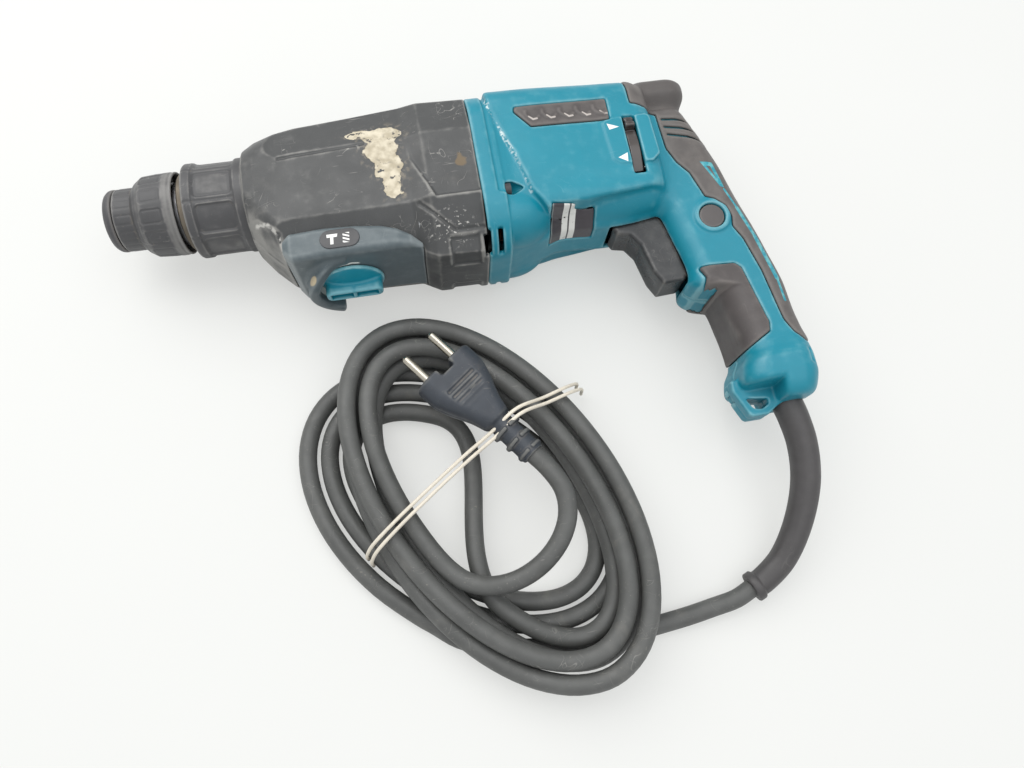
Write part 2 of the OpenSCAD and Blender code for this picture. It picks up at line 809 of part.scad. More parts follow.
module motor_housing() {
  slot_from = 90 - lever_swing / 2 - 7;
  hollow = [for (s = motor_sections) [s[0] > 95 ? s[0] - wall : s[0] + 0.5, s[1], s[2], s[3], s[4]]];
  color([0.1, 0.56, 0.66])
    difference() {
      union() {
        x_body([[0, 36.5, -60.5, half_width, 25], [flange_t, 36, -60, half_width, 25]], 0);
        x_body(motor_sections, 0);
        slab(28, half_width - 3.2, [[77, 3], [80, 5], [97, 5], [99, 3], [99, -21], [96, -24], [80, -24], [77, -21]]);
        handle_half(handle_sections, 0, 1);
        strap_plate(1);
        translate([button_x, button_y, 19.5]) cylinder(h = 3.6, r = button_r + 2.4);
      }
      difference() {
        union() {
          x_body(hollow, wall);
          handle_room(1);
        }
        bar_x(field_x - 2, field_x + 3, 60);
        bar_x(field_x + field_length - 5, field_x + field_length, 60);
        translate([rear_bearing_x - 0.5, -34, -30]) cube([8, 50, 60]);
        trigger_cheeks();
        screw_posts(1, 4);
        for (s = screw_spots)
          translate([0, s[0], s[1]]) bar_x(flange_t, 38, 6.2);
      }
      translate([0, -motor_drop, 0]) {
        bar_x(-1, field_x + field_length + 9, field_r);
        bar_x(-1, 5, field_r + 0.8);
        bar_x(rear_bearing_x - 2, rear_bearing_x + 7.5, rear_bearing_r);
      }
      for (s = screw_spots)
        translate([0, s[0], s[1]]) {
          bar_x(-1, flange_t + 1, 2);
          bar_x(flange_t, 36, 3.9);
        }
      for (s = handle_screw_spots)
        translate([s[0], s[1], -1]) cylinder(h = 11, r = 1.6);
      trigger_room();
      translate([pivot_x, pivot_y, -14]) cylinder(h = 28, r = 1.5);
      switch_room();
      guard_hole();
      strap_cut();
      translate([button_x, button_y, 0]) cylinder(h = 40, r = button_r + 2 * fit);
      lever_slot(slot_from, 180 - slot_from);
      for (x = [-2, 5.2])
        translate([x, -54, 14]) cube([2.6, 14, 30]);
    }
}

// curved slot for the reversing lever, centred on the motor axis
module lever_slot(from, to) {
  translate([lever_x - 0.5, -motor_drop, 0]) rotate([90, 0, 90])
    linear_extrude(height = 7)
      polygon(concat(arc(0, 0, 60, from, to, 8), arc(0, 0, ring_r - 2, to, from, 8)));
}

module handle_cover() {
  color([0.09, 0.52, 0.62])
    difference() {
      union() {
        handle_half(handle_sections, 0, -1);
        strap_plate(-1);
      }
      difference() {
        handle_room(-1);
        screw_posts(-1, 4);
      }
      x_body(motor_sections, 0);
      for (s = handle_screw_spots)
        translate([s[0], s[1], -40]) {
          cylinder(h = 41, r = 1.6);
          cylinder(h = 24, r = 3.2);
        }
      trigger_room();
      switch_room();
      guard_hole();
      strap_cut();
    }
}

module bumper() {
  strip = [[top_y, 105, 122, 10, 5], [35.5, 100, 126, 16, 8], [30, 97, 129.5, 19, 9], [25, 96, 129, 19, 9],
    [17, 100, 125.6, 18, 9], [8, 108, 130.5, 17, 8], [-9, 114, 137.4, 16, 8], [-47, 124, 147.2, 15, 8],
    [-81, 133, 155.8, 14, 8], [-112, 138, back_reach - 0.4, 12, 6], [-121, 142, back_reach - 0.3, 9, 4]];
  color([0.3, 0.28, 0.27])
    difference() {
      handle_body(strip, 0);
      x_body(motor_sections, 0);
      handle_body(handle_sections, 0);
      for (i = [0:2])
        translate([128.4 + 2.9 * i, 10 - 7 * i, -20]) cube([12, 1.6, 40]);
    }
}

// a thin plate laid on the outside of the handle
module grip_insert() {
  color([0.3, 0.28, 0.27])
    difference() {
      intersection() {
        handle_body(handle_sections, -1);
        slab(-40, 40, [[114, -98.5], [133, -101], [140, -124], [137, -128], [121, -137], [114, -133]]);
      }
      handle_body(handle_sections, 0);
    }
}

module top_insert() {
  color([0.3, 0.28, 0.27])
    difference() {
      intersection() {
        x_body(motor_sections, -0.7);
        union()
          for (side = [0, 1])
            mirror([0, 0, side]) slab(20, half_width + 1.5, [[25, 14], [33, 3], [76.6, 4], [76.6, 17]]);
      }
      x_body(motor_sections, 0);
    }
}

module rating_label() {
  color([0.2, 0.2, 0.2])
    difference() {
      intersection() {
        x_body(motor_sections, -0.3);
        slab(9, 36, [[36, -60], [37, -37], [61, -37], [60, -60]]);
      }
      x_body(motor_sections, 0);
    }
}

// ---- switchgear ----

module brush_ring() {
  holder = ring_r - commutator_r - 3;
  color([0.15, 0.15, 0.16])
    translate([0, -motor_drop, 0])
      difference() {
        union() {
          tube_x(ring_x, lever_x, ring_r - 3, ring_r);
          for (side = [0, 1])
            mirror([0, 0, side]) translate([brush_x - 1.5, -5, commutator_r + 2]) cube([12, 10, holder]);
        }
        translate([brush_x, -3.5, -ring_r - 1]) cube([9, 7, 2 * ring_r + 2]);
      }
}

module brushes() {
  reach = ring_r - 3 - commutator_r;
  color([0.2, 0.2, 0.2])
    translate([0, -motor_drop, 0])
      for (side = [0, 1])
        mirror([0, 0, side]) translate([brush_x, -3.5, commutator_r + 0.1]) cube([9, 7, reach]);
}

module reversing_lever() {
  color([0.1, 0.1, 0.1])
    translate([0, -motor_drop, 0])
      rotate([-lever_swing / 2, 0, 0])
        difference() {
          union() {
            translate([lever_x, -2.5, ring_r - 4]) cube([5, 5, lever_tip - ring_r + 3]);
            translate([lever_x, -3.2, lever_tip - 2.2]) cube([5.2, 6.4, 2.2]);
          }
          bar_x(lever_x - 1, lever_x + 6, ring_r - 3.6);
        }
}

module trigger() {
  color([0.2, 0.2, 0.21])
    difference() {
      slab(-trigger_half, trigger_half, [[71, -50], [73, -46], [80, -43.5], [92, -40], [99, -44], [103, -56],
        [107.4, -84], [104, -86.4], [92, -87], [88, -79], [84.4, -62], [80, -55.5], [73, -54]]);
      slab(-trigger_half + 2.2, trigger_half - 2.2, [[86, -48], [120, -48], [120, -82], [93, -82]]);
      translate([pivot_x, pivot_y, -20]) cylinder(h = 40, r = 1.5 + fit);
    }
}

module switch_body() {
  color([0.12, 0.12, 0.13]) {
    slab(-12.5, 12.5, [[112, -53], [134, -51], [142, -88], [118, -88]]);
    translate([pivot_x, pivot_y, -14]) cylinder(h = 28, r = 1.5);
  }
}

module lock_button() {
  color([0.3, 0.28, 0.27])
    translate([button_x, button_y, button_base]) {
      cylinder(h = button_face - button_base, r = button_r);
      cylinder(h = 1, r = button_r + 1);
    }
}

module flange_screws() {
  color([0.15, 0.15, 0.16])
    for (s = screw_spots)
      translate([0, s[0], s[1]]) {
        bar_x(-14, flange_t, 2);
        difference() {
          bar_x(flange_t, flange_t + 3, 3.6);
          translate([flange_t + 1.4, 0, 0]) rotate([0, 90, 0]) cylinder(h = 2, r = 1.8, $fn = 6);
        }
      }
}

module handle_screws() {
  color([0.15, 0.15, 0.16])
    for (s = handle_screw_spots)
      translate([s[0], s[1], -16]) {
        cylinder(h = 26, r = 1.6);
        translate([0, 0, -2.4]) cylinder(h = 2.4, r = 3.1);
      }
}

module cord_clamp() {
  color([0.14, 0.14, 0.15])
    difference() {
      translate([cord_x - 7, clamp_y, -12]) cube([11, 10, 24]);
      translate([cord_x, -130, 0]) rotate([90, 0, 0]) cylinder(h = 30, r = cord_d / 2 - 0.4);
    }
}

module leads() {
  color([0.1, 0.1, 0.1]) {
    translate([cord_x, -136, 0]) rotate([90, 0, 0]) cylinder(h = 16, r = cord_d / 2 - 0.4);
    for (side = [-1, 1])
      swept([for (t = [0:0.125:1])
        blend([cord_x, -136, side * 2.4], [128, -88.2, side * 7], [0, 70, 0], [0, 40, 0], t)],
        [for (t = [0:0.125:1]) 1.6], 6, [1, 0, 0]);
  }
}

// ---- cord ----

floor_z = -half_width;
cord_z = floor_z + cord_d / 2 + 0.1;
layer = cord_d + 0.6;
guard_route = [[cord_x, -152, 0], [cord_x, -160, 0], [148, -170, -1], [150, -184, -4], [149, -203, -10],
  [142, -224, -18], [131, -241, -25], [119, -250, -28.6], [116, -251.3, -29], [115.9, -251.35, -29],
  [112, -253, -29.6]];
guard_r = [8.3, 8.3, 8.2, 8, 7.8, 7.5, 7.2, 7, 6.9, 8.3, 8.3];
cord_start = guard_route[len(guard_route) - 1];

// one turn of the hank is an ellipse: centre, mean radius, half the difference of its radii, turn of its axis
function loop_at(cx, cy, mean, half, turn, angle) =
  let (u = (mean + half) * cos(angle), v = (mean - half) * sin(angle))
  [cx + u * cos(turn) - v * sin(turn), cy + u * sin(turn) + v * cos(turn)];

pitch = 12.2;
steps = 24;
low_turns = 2.42;
top_turns = 3.93;
// lower layer, wound inwards
function low_at(t) = loop_at(-31.4, -178.9, 83 - pitch * t, 16.9, -42, -83 - 360 * t);
// two upper layers, wound the other way, outwards and then inwards
function top_at(t) =
  let (w = ease((t - 1.61) / 0.72), mean = 61.9 + pitch * min(t, 2.13) - pitch * max(0, t - 2.13))
  loop_at(-15.9 - 3.9 * w, -182.2 + 2.8 * w, mean, 22.5 + 1.1 * w, -62.8 + 0.4 * w, -54 + 360 * t);
function flat(p, z) = [p[0], p[1], z];
function along(f, t) = unit(f == 0 ? low_at(t + 0.001) - low_at(t - 0.001) : top_at(t + 0.001) - top_at(t - 0.001));

plug_spot = [5, -167, 3.4];
plug_line = [-0.6, 0.8, 0];
bridge = 128;
low_end = low_at(low_turns);
hank_in = flat(low_at(0), cord_z);
hank_in_line = flat(along(0, 0), 0);
hank_out = flat(top_at(top_turns), cord_z + 2 * layer);
hank_route = concat(
  [hank_in - cord_d * hank_in_line],
  [for (i = [0:round(low_turns * steps)]) flat(low_at(low_turns * i / round(low_turns * steps)), cord_z)],
  [for (i = [1:15])
    blend(flat(low_end, cord_z + layer * ease((i / 16 - 0.1) / 0.8)), flat(top_at(0), cord_z + layer
      * ease((i / 16 - 0.1) / 0.8)), bridge * flat(along(0, low_turns), 0), bridge * flat(along(1, 0), 0), i / 16)],
  [for (i = [0:round(top_turns * steps)])
    let (t = top_turns * i / round(top_turns * steps))
    flat(top_at(t), cord_z + layer + layer * ease((t - 1.86) / 0.35))],
  [for (i = [1:9])
    let (w = ease(i / 9))
    flat(blend(hank_out, plug_spot - cord_d * plug_line, 133 * flat(along(1, top_turns), 0), 133 * plug_line, i / 9),
      hank_out[2] + (plug_spot[2] - hank_out[2]) * w)],
  [plug_spot]);
run_route = concat(
  [cord_start, cord_start + cord_d * unit(cord_start - guard_route[len(guard_route) - 3])],
  [[90, -259, -32.4], [76, -261, -33.2], [60, -262.5, cord_z], [40, -264, cord_z], [20, -264.5, cord_z],
    [0, -263.5, cord_z], [-18, -261, cord_z], [-34, -256.5, cord_z]],
  [hank_in - 2.4 * cord_d * hank_in_line, hank_in - cord_d * hank_in_line]);

function length_of(route) = [for (i = [1:len(route) - 1]) norm(route[i] - route[i - 1])] * [for (i = [1:len(route) - 1]) 1];
function sum_before(route, i) = i == 0 ? 0 : sum_before(route, i - 1) + norm(route[i] - route[i - 1]);
function own_gap(route) =
  let (far = [for (i = [0:len(route) - 1]) sum_before(route, i)])
  min([for (i = [0:len(route) - 1]) for (j = [i + 2:len(route) - 1]) if (far[j] - far[i] > 3 * cord_d)
    norm(route[i] - route[j])]) - cord_d;

module cord_guard() {
  color([0.2, 0.2, 0.2])
    swept(guard_route, guard_r, 12, [0, 0, 1]);
}

module cord_run() {
  color([0.3, 0.3, 0.3])
    swept(run_route, [for (p = run_route) cord_d / 2], 8, [0, 0, 1]);
}

module cord_hank() {
  echo(hank_gap = own_gap(hank_route), hank_length = length_of(hank_route), run_length = length_of(run_route));
  color([0.3, 0.3, 0.3])
    swept(hank_route, [for (p = hank_route) cord_d / 2], cord_sides, [0, 0, 1]);
}

// elastic band round the hank, two strands
module cord_tie() {
  route = [[42, -128, -34], [39, -130, -16], [30, -134, -5], [18, -137.5, -1], [5, -142, 11.4], [-1, -145.5, 14.4],
    [-12, -152.5, 14.4], [-18.5, -156.5, 10], [-30, -163, 0], [-50, -176, -3], [-70, -190, -4.6], [-82, -199, -8], [-87, -203, -20], [-88, -204, -34]];
  color([0.9, 0.88, 0.82])
    for (k = [-1, 1])
      swept([for (p = route) p + [k * 1.1, -k * 1.9, 0]], [for (p = route) 1], 6, [0.5, -0.85, 0.1]);
}

// places the plug with its back at the end of the cord and its pins along +X
module at_plug() {
  translate(plug_spot) rotate([0, 0, atan2(plug_line[1], plug_line[0])]) children();
}

module plug_body() {
  color([0.14, 0.15, 0.16])
    at_plug() {
      for (i = [0:5])
        bar_x(3 + 4 * i, 6 + 4 * i, 7.4 + 0.3 * i);
      bar_x(0, 27, 6.4);
      skin([for (s = [[26, 8, 8, 5], [34, 10, 9, 6], [48, 16, 10.4, 8], [56, 18, 10.6, 8], [66, 18, 10.6, 8]])
        [for (p = rounded(-s[1], s[1], -s[2], s[2], s[3], 3)) [s[0], p[0], p[1]]]]);
    }
}

module plug_pins() {
  color([0.7, 0.7, 0.68])
    at_plug()
      for (side = [-1, 1])
        translate([0, side * 9.5, 0]) turned([[66, 0], [66, 2.4], [83.6, 2.4], [85, 1.2], [85, 0]]);
}

seat() front_cap();
seat() chuck_cover();
seat() chuck_ring();
seat() locking_balls();
seat() chuck_spring();
seat() tool_holder();
seat() impact_bolt();
seat() striker();
seat() striker_seal();
seat() cylinder_tube();  // cylinder
seat() piston();
seat() spindle_gear();
seat() clutch_spring();
seat() front_bearing();
seat() oil_seal();
seat() barrel();
seat() barrel_collar();
seat() gear_cover();
seat() inner_housing();
seat() mode_cover();
seat() mode_badge();
seat() mode_knob();
seat() shift_plate();
seat() layshaft();
seat() drive_pinion();
seat() first_gear();
seat() swash_hub();
seat() swash_balls();
seat() swash_arm();
seat() layshaft_bearings();
seat() armature_shaft();
seat() armature_core();
seat() commutator();
seat() fan();
seat() armature_bearings();
seat() field_core();
seat() field_coils();
seat() baffle();
seat() motor_housing();
seat() handle_cover();
seat() bumper();
seat() grip_insert();
seat() top_insert();
seat() rating_label();
seat() brush_ring();
seat() brushes();
seat() reversing_lever();
seat() trigger();
seat() switch_body();
seat() lock_button();
seat() flange_screws();
seat() handle_screws();
seat() cord_clamp();
seat() leads();
seat() cord_guard();
seat() cord_run();
seat() cord_hank();
seat() cord_tie();
seat() plug_body();
seat() plug_pins();
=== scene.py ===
"""Looks of a corded rotary hammer: camera, cord, shells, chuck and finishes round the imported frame."""

from __future__ import annotations

import logging
import math
from dataclasses import dataclass, replace
from enum import Enum
from functools import reduce
from typing import Callable, Iterable, Sequence

import bpy
import numpy as np
import openvdb as vdb
from mathutils import Matrix


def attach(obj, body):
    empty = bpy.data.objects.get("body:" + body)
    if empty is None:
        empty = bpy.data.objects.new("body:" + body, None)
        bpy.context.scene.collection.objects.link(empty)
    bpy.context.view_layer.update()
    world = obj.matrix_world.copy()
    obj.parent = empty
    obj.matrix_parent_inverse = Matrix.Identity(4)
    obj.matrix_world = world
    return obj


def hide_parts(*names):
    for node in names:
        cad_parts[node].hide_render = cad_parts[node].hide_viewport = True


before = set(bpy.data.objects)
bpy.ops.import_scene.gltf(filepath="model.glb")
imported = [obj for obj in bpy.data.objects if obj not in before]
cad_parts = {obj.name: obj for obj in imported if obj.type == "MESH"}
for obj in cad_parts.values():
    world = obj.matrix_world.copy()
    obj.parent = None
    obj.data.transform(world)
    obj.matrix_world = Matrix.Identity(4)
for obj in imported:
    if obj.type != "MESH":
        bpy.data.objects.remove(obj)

LOG = logging.getLogger("scene")
Array = np.ndarray
Colour = tuple[float, float, float]
Point = tuple[float, float, float]
Spot = tuple[float, float]
Line = Sequence[Spot]
SEAT = np.array((20.5, 64.5, 38.5))


# ---- numbers and small shapes, in construction millimetres ----


def to_row(points: Iterable) -> Array:
    """Moves construction millimetres to the row frame.

    Args:
        points: points about the barrel axis, in millimetres.
    Returns:
        The points in metres in the row frame.
    """
    return (np.asarray(points, float) + SEAT) / 1000


def ease(value: Array) -> Array:
    """Smooth step from 0 to 1.

    Args:
        value: numbers, cut to the range from 0 to 1.
    Returns:
        The eased numbers.
    """
    s = np.clip(value, 0, 1)
    return s * s * (3 - 2 * s)


def join(a: Array, b: Array, soft: float) -> Array:
    """Union of two distance fields with a rounded inner corner.

    Args:
        a: first field.
        b: second field.
        soft: width of the rounding.
    Returns:
        The joined field.
    """
    h = np.clip(0.5 + 0.5 * (b - a) / soft, 0, 1)
    return b + (a - b) * h - soft * h * (1 - h)


def cut(a: Array, b: Array, soft: float = 0.6) -> Array:
    """Common part of two distance fields with a rounded outer edge.

    Args:
        a: first field.
        b: second field.
        soft: width of the rounding.
    Returns:
        The common field.
    """
    return -join(-a, -b, soft)


def both(*fields: Array) -> Array:
    """Common part of distance fields with sharp edges.

    Args:
        fields: the fields.
    Returns:
        The common field.
    """
    return reduce(np.maximum, fields)


def remove(d: Array, *regions: Array) -> Array:
    """Takes regions away from a body.

    Args:
        d: the body's field.
        regions: fields of what is taken away, each a common part.
    Returns:
        The field of what is left.
    """
    return np.maximum(d, -both(*regions))


def band(value: Array, low: float, high: float) -> Array:
    """Distance to a range of numbers.

    Args:
        value: coordinates.
        low: lower end.
        high: upper end.
    Returns:
        Negative inside the range.
    """
    return np.maximum(low - value, value - high)


def rounded(u: Array, v: Array, half_u: Array, half_v: Array, corner: Array) -> Array:
    """Distance to a rounded rectangle about the origin.

    Args:
        u: first coordinate.
        v: second coordinate.
        half_u: half size along u.
        half_v: half size along v.
        corner: corner radius.
    Returns:
        The distance.
    """
    a = np.abs(u) - (half_u - corner)
    b = np.abs(v) - (half_v - corner)
    return np.hypot(np.maximum(a, 0), np.maximum(b, 0)) + np.minimum(np.maximum(a, b), 0) - corner


def outline(u: Array, v: Array, points: Line) -> Array:
    """Distance to a closed polygon.

    Args:
        u: first coordinate.
        v: second coordinate.
        points: corners of the polygon.
    Returns:
        The distance, negative inside.
    """
    best = np.full(np.broadcast(u, v).shape, 1e9, np.float32)
    inside = np.zeros(best.shape, bool)
    for (ax, ay), (bx, by) in zip(points, list(points[1:]) + [points[0]]):
        ex, ey = bx - ax, by - ay
        du, dv = u - ax, v - ay
        t = np.clip((du * ex + dv * ey) / (ex * ex + ey * ey), 0, 1)
        best = np.minimum(best, (du - ex * t) ** 2 + (dv - ey * t) ** 2)
        if ay != by:
            inside ^= (v >= min(ay, by)) & (v < max(ay, by)) & (u < ax + (v - ay) * ex / ey)
    return np.where(inside, -1, 1) * np.sqrt(best)


def spot_distance(x: Array, y: Array, spot: Spot) -> Array:
    """Distance in a plane from one point.

    Args:
        x: first coordinate.
        y: second coordinate.
        spot: the point.
    Returns:
        The distance.
    """
    return np.hypot(x - spot[0], y - spot[1])


def near_line(u: Array, v: Array, points: Line) -> Array:
    """Distance to an open line of points in a plane.

    Args:
        u: first coordinate.
        v: second coordinate.
        points: the line's points.
    Returns:
        The distance.
    """
    best = np.full(np.broadcast(u, v).shape, 1e9, np.float32)
    for (ax, ay), (bx, by) in zip(points[:-1], points[1:]):
        ex, ey = bx - ax, by - ay
        t = np.clip(((u - ax) * ex + (v - ay) * ey) / (ex * ex + ey * ey), 0, 1)
        best = np.minimum(best, (u - ax - ex * t) ** 2 + (v - ay - ey * t) ** 2)
    return np.sqrt(best)


def through(table: Sequence[Sequence[float]], at: Array, smooth: bool = True) -> list[Array]:
    """Section sizes between the rows of a table.

    Args:
        table: rows that start with their position.
        at: positions that are asked for.
        smooth: whether the values run in a curve without overshoot.
    Returns:
        One array for each further column.
    """
    rows = np.array(sorted(table), float)
    s, gaps = rows[:, 0], np.diff(rows[:, 0])
    flat = np.clip(np.ravel(at), s[0], s[-1])
    out = []
    for values in rows[:, 1:].T:
        if not smooth:
            out.append(np.interp(flat, s, values).reshape(at.shape).astype(np.float32))
            continue
        rise = np.diff(values) / gaps
        slope = np.zeros(len(values))
        for i in range(1, len(values) - 1):
            if rise[i - 1] * rise[i] > 0:
                slope[i] = 2 * rise[i - 1] * rise[i] / (rise[i - 1] + rise[i])
        slope[0], slope[-1] = rise[0], rise[-1]
        k = np.clip(np.searchsorted(s, flat, side="right") - 1, 0, len(gaps) - 1)
        t, h = (flat - s[k]) / gaps[k], gaps[k]
        value = (
            values[k] * (2 * t**3 - 3 * t**2 + 1)
            + h * slope[k] * (t**3 - 2 * t**2 + t)
            + values[k + 1] * (3 * t**2 - 2 * t**3)
            + h * slope[k + 1] * (t**3 - t**2)
        )
        out.append(value.reshape(at.shape).astype(np.float32))
    return out


class Volume:
    """A box of sample points in which shapes are drawn as distance fields and meshed."""

    def __init__(self, low: Point, high: Point, step: float) -> None:
        """Lays out the sample points.

        Args:
            low: lowest corner in millimetres.
            high: highest corner in millimetres.
            step: distance between samples.
        """
        self.step = step * 1
        self.low = np.array(low, float)
        axes = [np.arange(a, b + self.step, self.step, dtype=np.float32) for a, b in zip(low, high)]
        self.x, self.y, self.z = axes[0][:, None, None], axes[1][None, :, None], axes[2][None, None, :]
        self.shape = tuple(len(a) for a in axes)

    def sample(self, d: Array, points: Array) -> Array:
        """Reads a field between its samples.

        Args:
            d: the field.
            points: places in millimetres.
        Returns:
            The values there.
        """
        f = (points - self.low) / self.step
        top = np.array(self.shape) - 1.001
        f = np.clip(f, 0, top)
        i = f.astype(int)
        w = (f - i).astype(np.float32)
        flat = np.ravel(d)
        ny, nz = self.shape[1:]
        base = (i[:, 0] * ny + i[:, 1]) * nz + i[:, 2]
        value = 0
        for a in (0, 1):
            for b in (0, 1):
                for c in (0, 1):
                    part = (w[:, 0] if a else 1 - w[:, 0]) * (w[:, 1] if b else 1 - w[:, 1])
                    value = value + part * (w[:, 2] if c else 1 - w[:, 2]) * flat[base + (a * ny + b) * nz + c]
        return value

    def slope(self, d: Array, points: Array) -> Array:
        """Direction in which a field rises.

        Args:
            d: the field.
            points: places in millimetres.
        Returns:
            One vector for each place.
        """
        reach = 0.7 * self.step
        columns = []
        for axis in range(3):
            shift = np.zeros(3)
            shift[axis] = reach
            columns.append((self.sample(d, points + shift) - self.sample(d, points - shift)) / (2 * reach))
        return np.stack(columns, 1)

    def mesh(self, name: str, d: Array) -> bpy.types.Mesh:
        """Meshes the surface of a field, with smooth normals and a measure of edges.

        Args:
            name: name of the mesh.
            d: the field, negative inside.
        Returns:
            A mesh in the row frame, with an "edge" attribute.
        """
        d = np.array(np.broadcast_to(d, self.shape), np.float32)
        for axis in range(3):
            inner = np.moveaxis(d, axis, 0)
            inner[1:-1] = 0.25 * inner[:-2] + 0.5 * inner[1:-1] + 0.25 * inner[2:]
        for axis in range(3):
            for end in (0, -1):
                index = [slice(None)] * 3
                index[axis] = end
                d[tuple(index)] = np.maximum(d[tuple(index)], 0.3 * self.step)
        grid = vdb.FloatGrid()
        grid.background = 3 * self.step
        grid.copyFromArray(np.clip(d, -3 * self.step, 3 * self.step), tolerance=0)
        points, quads = grid.convertToQuads(isovalue=0.0)
        points = points.astype(float) * self.step + self.low
        for _ in range(2):
            g = self.slope(d, points)
            size = np.maximum((g * g).sum(1), 0.2)
            move = self.sample(d, points)[:, None] * g / size[:, None]
            points -= np.clip(move, -0.4 * self.step, 0.4 * self.step)
        g = self.slope(d, points)
        normals = g / np.maximum(np.linalg.norm(g, axis=1), 1e-6)[:, None]
        edge = np.zeros(len(points))
        for axis in range(3):
            for way in (-1.4, 1.4):
                shift = np.zeros(3)
                shift[axis] = way
                edge += self.sample(d, points + shift)
        a, b, c = (points[quads[:, k]] for k in (0, 1, 2))
        face = np.cross(b - a, c - a)
        if np.einsum("ij,ij->i", face, normals[quads[:, 0]]).sum() < 0:
            quads = quads[:, ::-1]
        mesh = make_mesh(name, to_row(points), np.ascontiguousarray(quads), normals)
        layer = mesh.attributes.new("edge", "FLOAT", "POINT")
        layer.data.foreach_set("value", (edge / 6).astype(np.float32))
        return mesh


def make_mesh(name: str, points: Array, faces: Array, normals: Array | None = None) -> bpy.types.Mesh:
    """Builds a smooth mesh from arrays.

    Args:
        name: name of the mesh.
        points: corner places in metres.
        faces: one row of corner numbers for each face.
        normals: a direction for each corner, or none.
    Returns:
        The mesh.
    """
    mesh = bpy.data.meshes.new(name)
    sides = faces.shape[1]
    mesh.vertices.add(len(points))
    mesh.vertices.foreach_set("co", np.ravel(points).astype(np.float32))
    mesh.loops.add(faces.size)
    mesh.loops.foreach_set("vertex_index", np.ravel(faces).astype(np.int32))
    mesh.polygons.add(len(faces))
    mesh.polygons.foreach_set("loop_start", np.arange(0, faces.size, sides, dtype=np.int32))
    mesh.update(calc_edges=True)
    mesh.validate()
    mesh.shade_smooth()
    if normals is not None and len(mesh.vertices) == len(normals):
        mesh.normals_split_custom_set_from_vertices(normals.astype(np.float32))
    return mesh


# ---- shaders ----


class Sum(Enum):
    """What a node makes of its numbers."""

    ADD = "ADD"
    SUBTRACT = "SUBTRACT"
    MULTIPLY = "MULTIPLY"
    DIVIDE = "DIVIDE"
    ABSOLUTE = "ABSOLUTE"
    MAXIMUM = "MAXIMUM"
    MINIMUM = "MINIMUM"
    SQRT = "SQRT"
    SINE = "SINE"
    SCALE = "SCALE"


class Value:
    """One number of a shader, with arithmetic."""

    def __init__(self, paint: "Paint", socket: bpy.types.NodeSocket) -> None:
        """Wraps a socket."""
        self.paint = paint
        self.socket = socket

    def __add__(self, other: "Value | float") -> "Value":
        """Adds a number."""
        return self.paint.math(Sum.ADD, self, other)

    __radd__ = __add__

    def __sub__(self, other: "Value | float") -> "Value":
        """Takes a number away."""
        return self.paint.math(Sum.SUBTRACT, self, other)

    def __rsub__(self, other: float) -> "Value":
        """Takes this away from a number."""
        return self.paint.math(Sum.SUBTRACT, other, self)

    def __mul__(self, other: "Value | float") -> "Value":
        """Multiplies by a number."""
        return self.paint.math(Sum.MULTIPLY, self, other)

    __rmul__ = __mul__

    def __truediv__(self, other: "Value | float") -> "Value":
        """Divides by a number."""
        return self.paint.math(Sum.DIVIDE, self, other)

    def __abs__(self) -> "Value":
        """Drops the sign."""
        return self.paint.math(Sum.ABSOLUTE, self)

    def top(self, other: "Value | float") -> "Value":
        """Larger of two numbers."""
        return self.paint.math(Sum.MAXIMUM, self, other)

    def low(self, other: "Value | float") -> "Value":
        """Smaller of two numbers."""
        return self.paint.math(Sum.MINIMUM, self, other)

    def ramp(self, start: float, end: float) -> "Value":
        """Smooth step that is 0 at start and 1 at end.

        Args:
            start: value that gives 0.
            end: value that gives 1.
        Returns:
            The stepped number.
        """
        flip = start > end
        node = self.paint.node(
            "ShaderNodeMapRange",
            {"interpolation_type": "SMOOTHSTEP"},
            {"Value": self, "From Min": min(start, end), "From Max": max(start, end)},
        )
        out = Value(self.paint, node.outputs[0])
        return 1 - out if flip else out


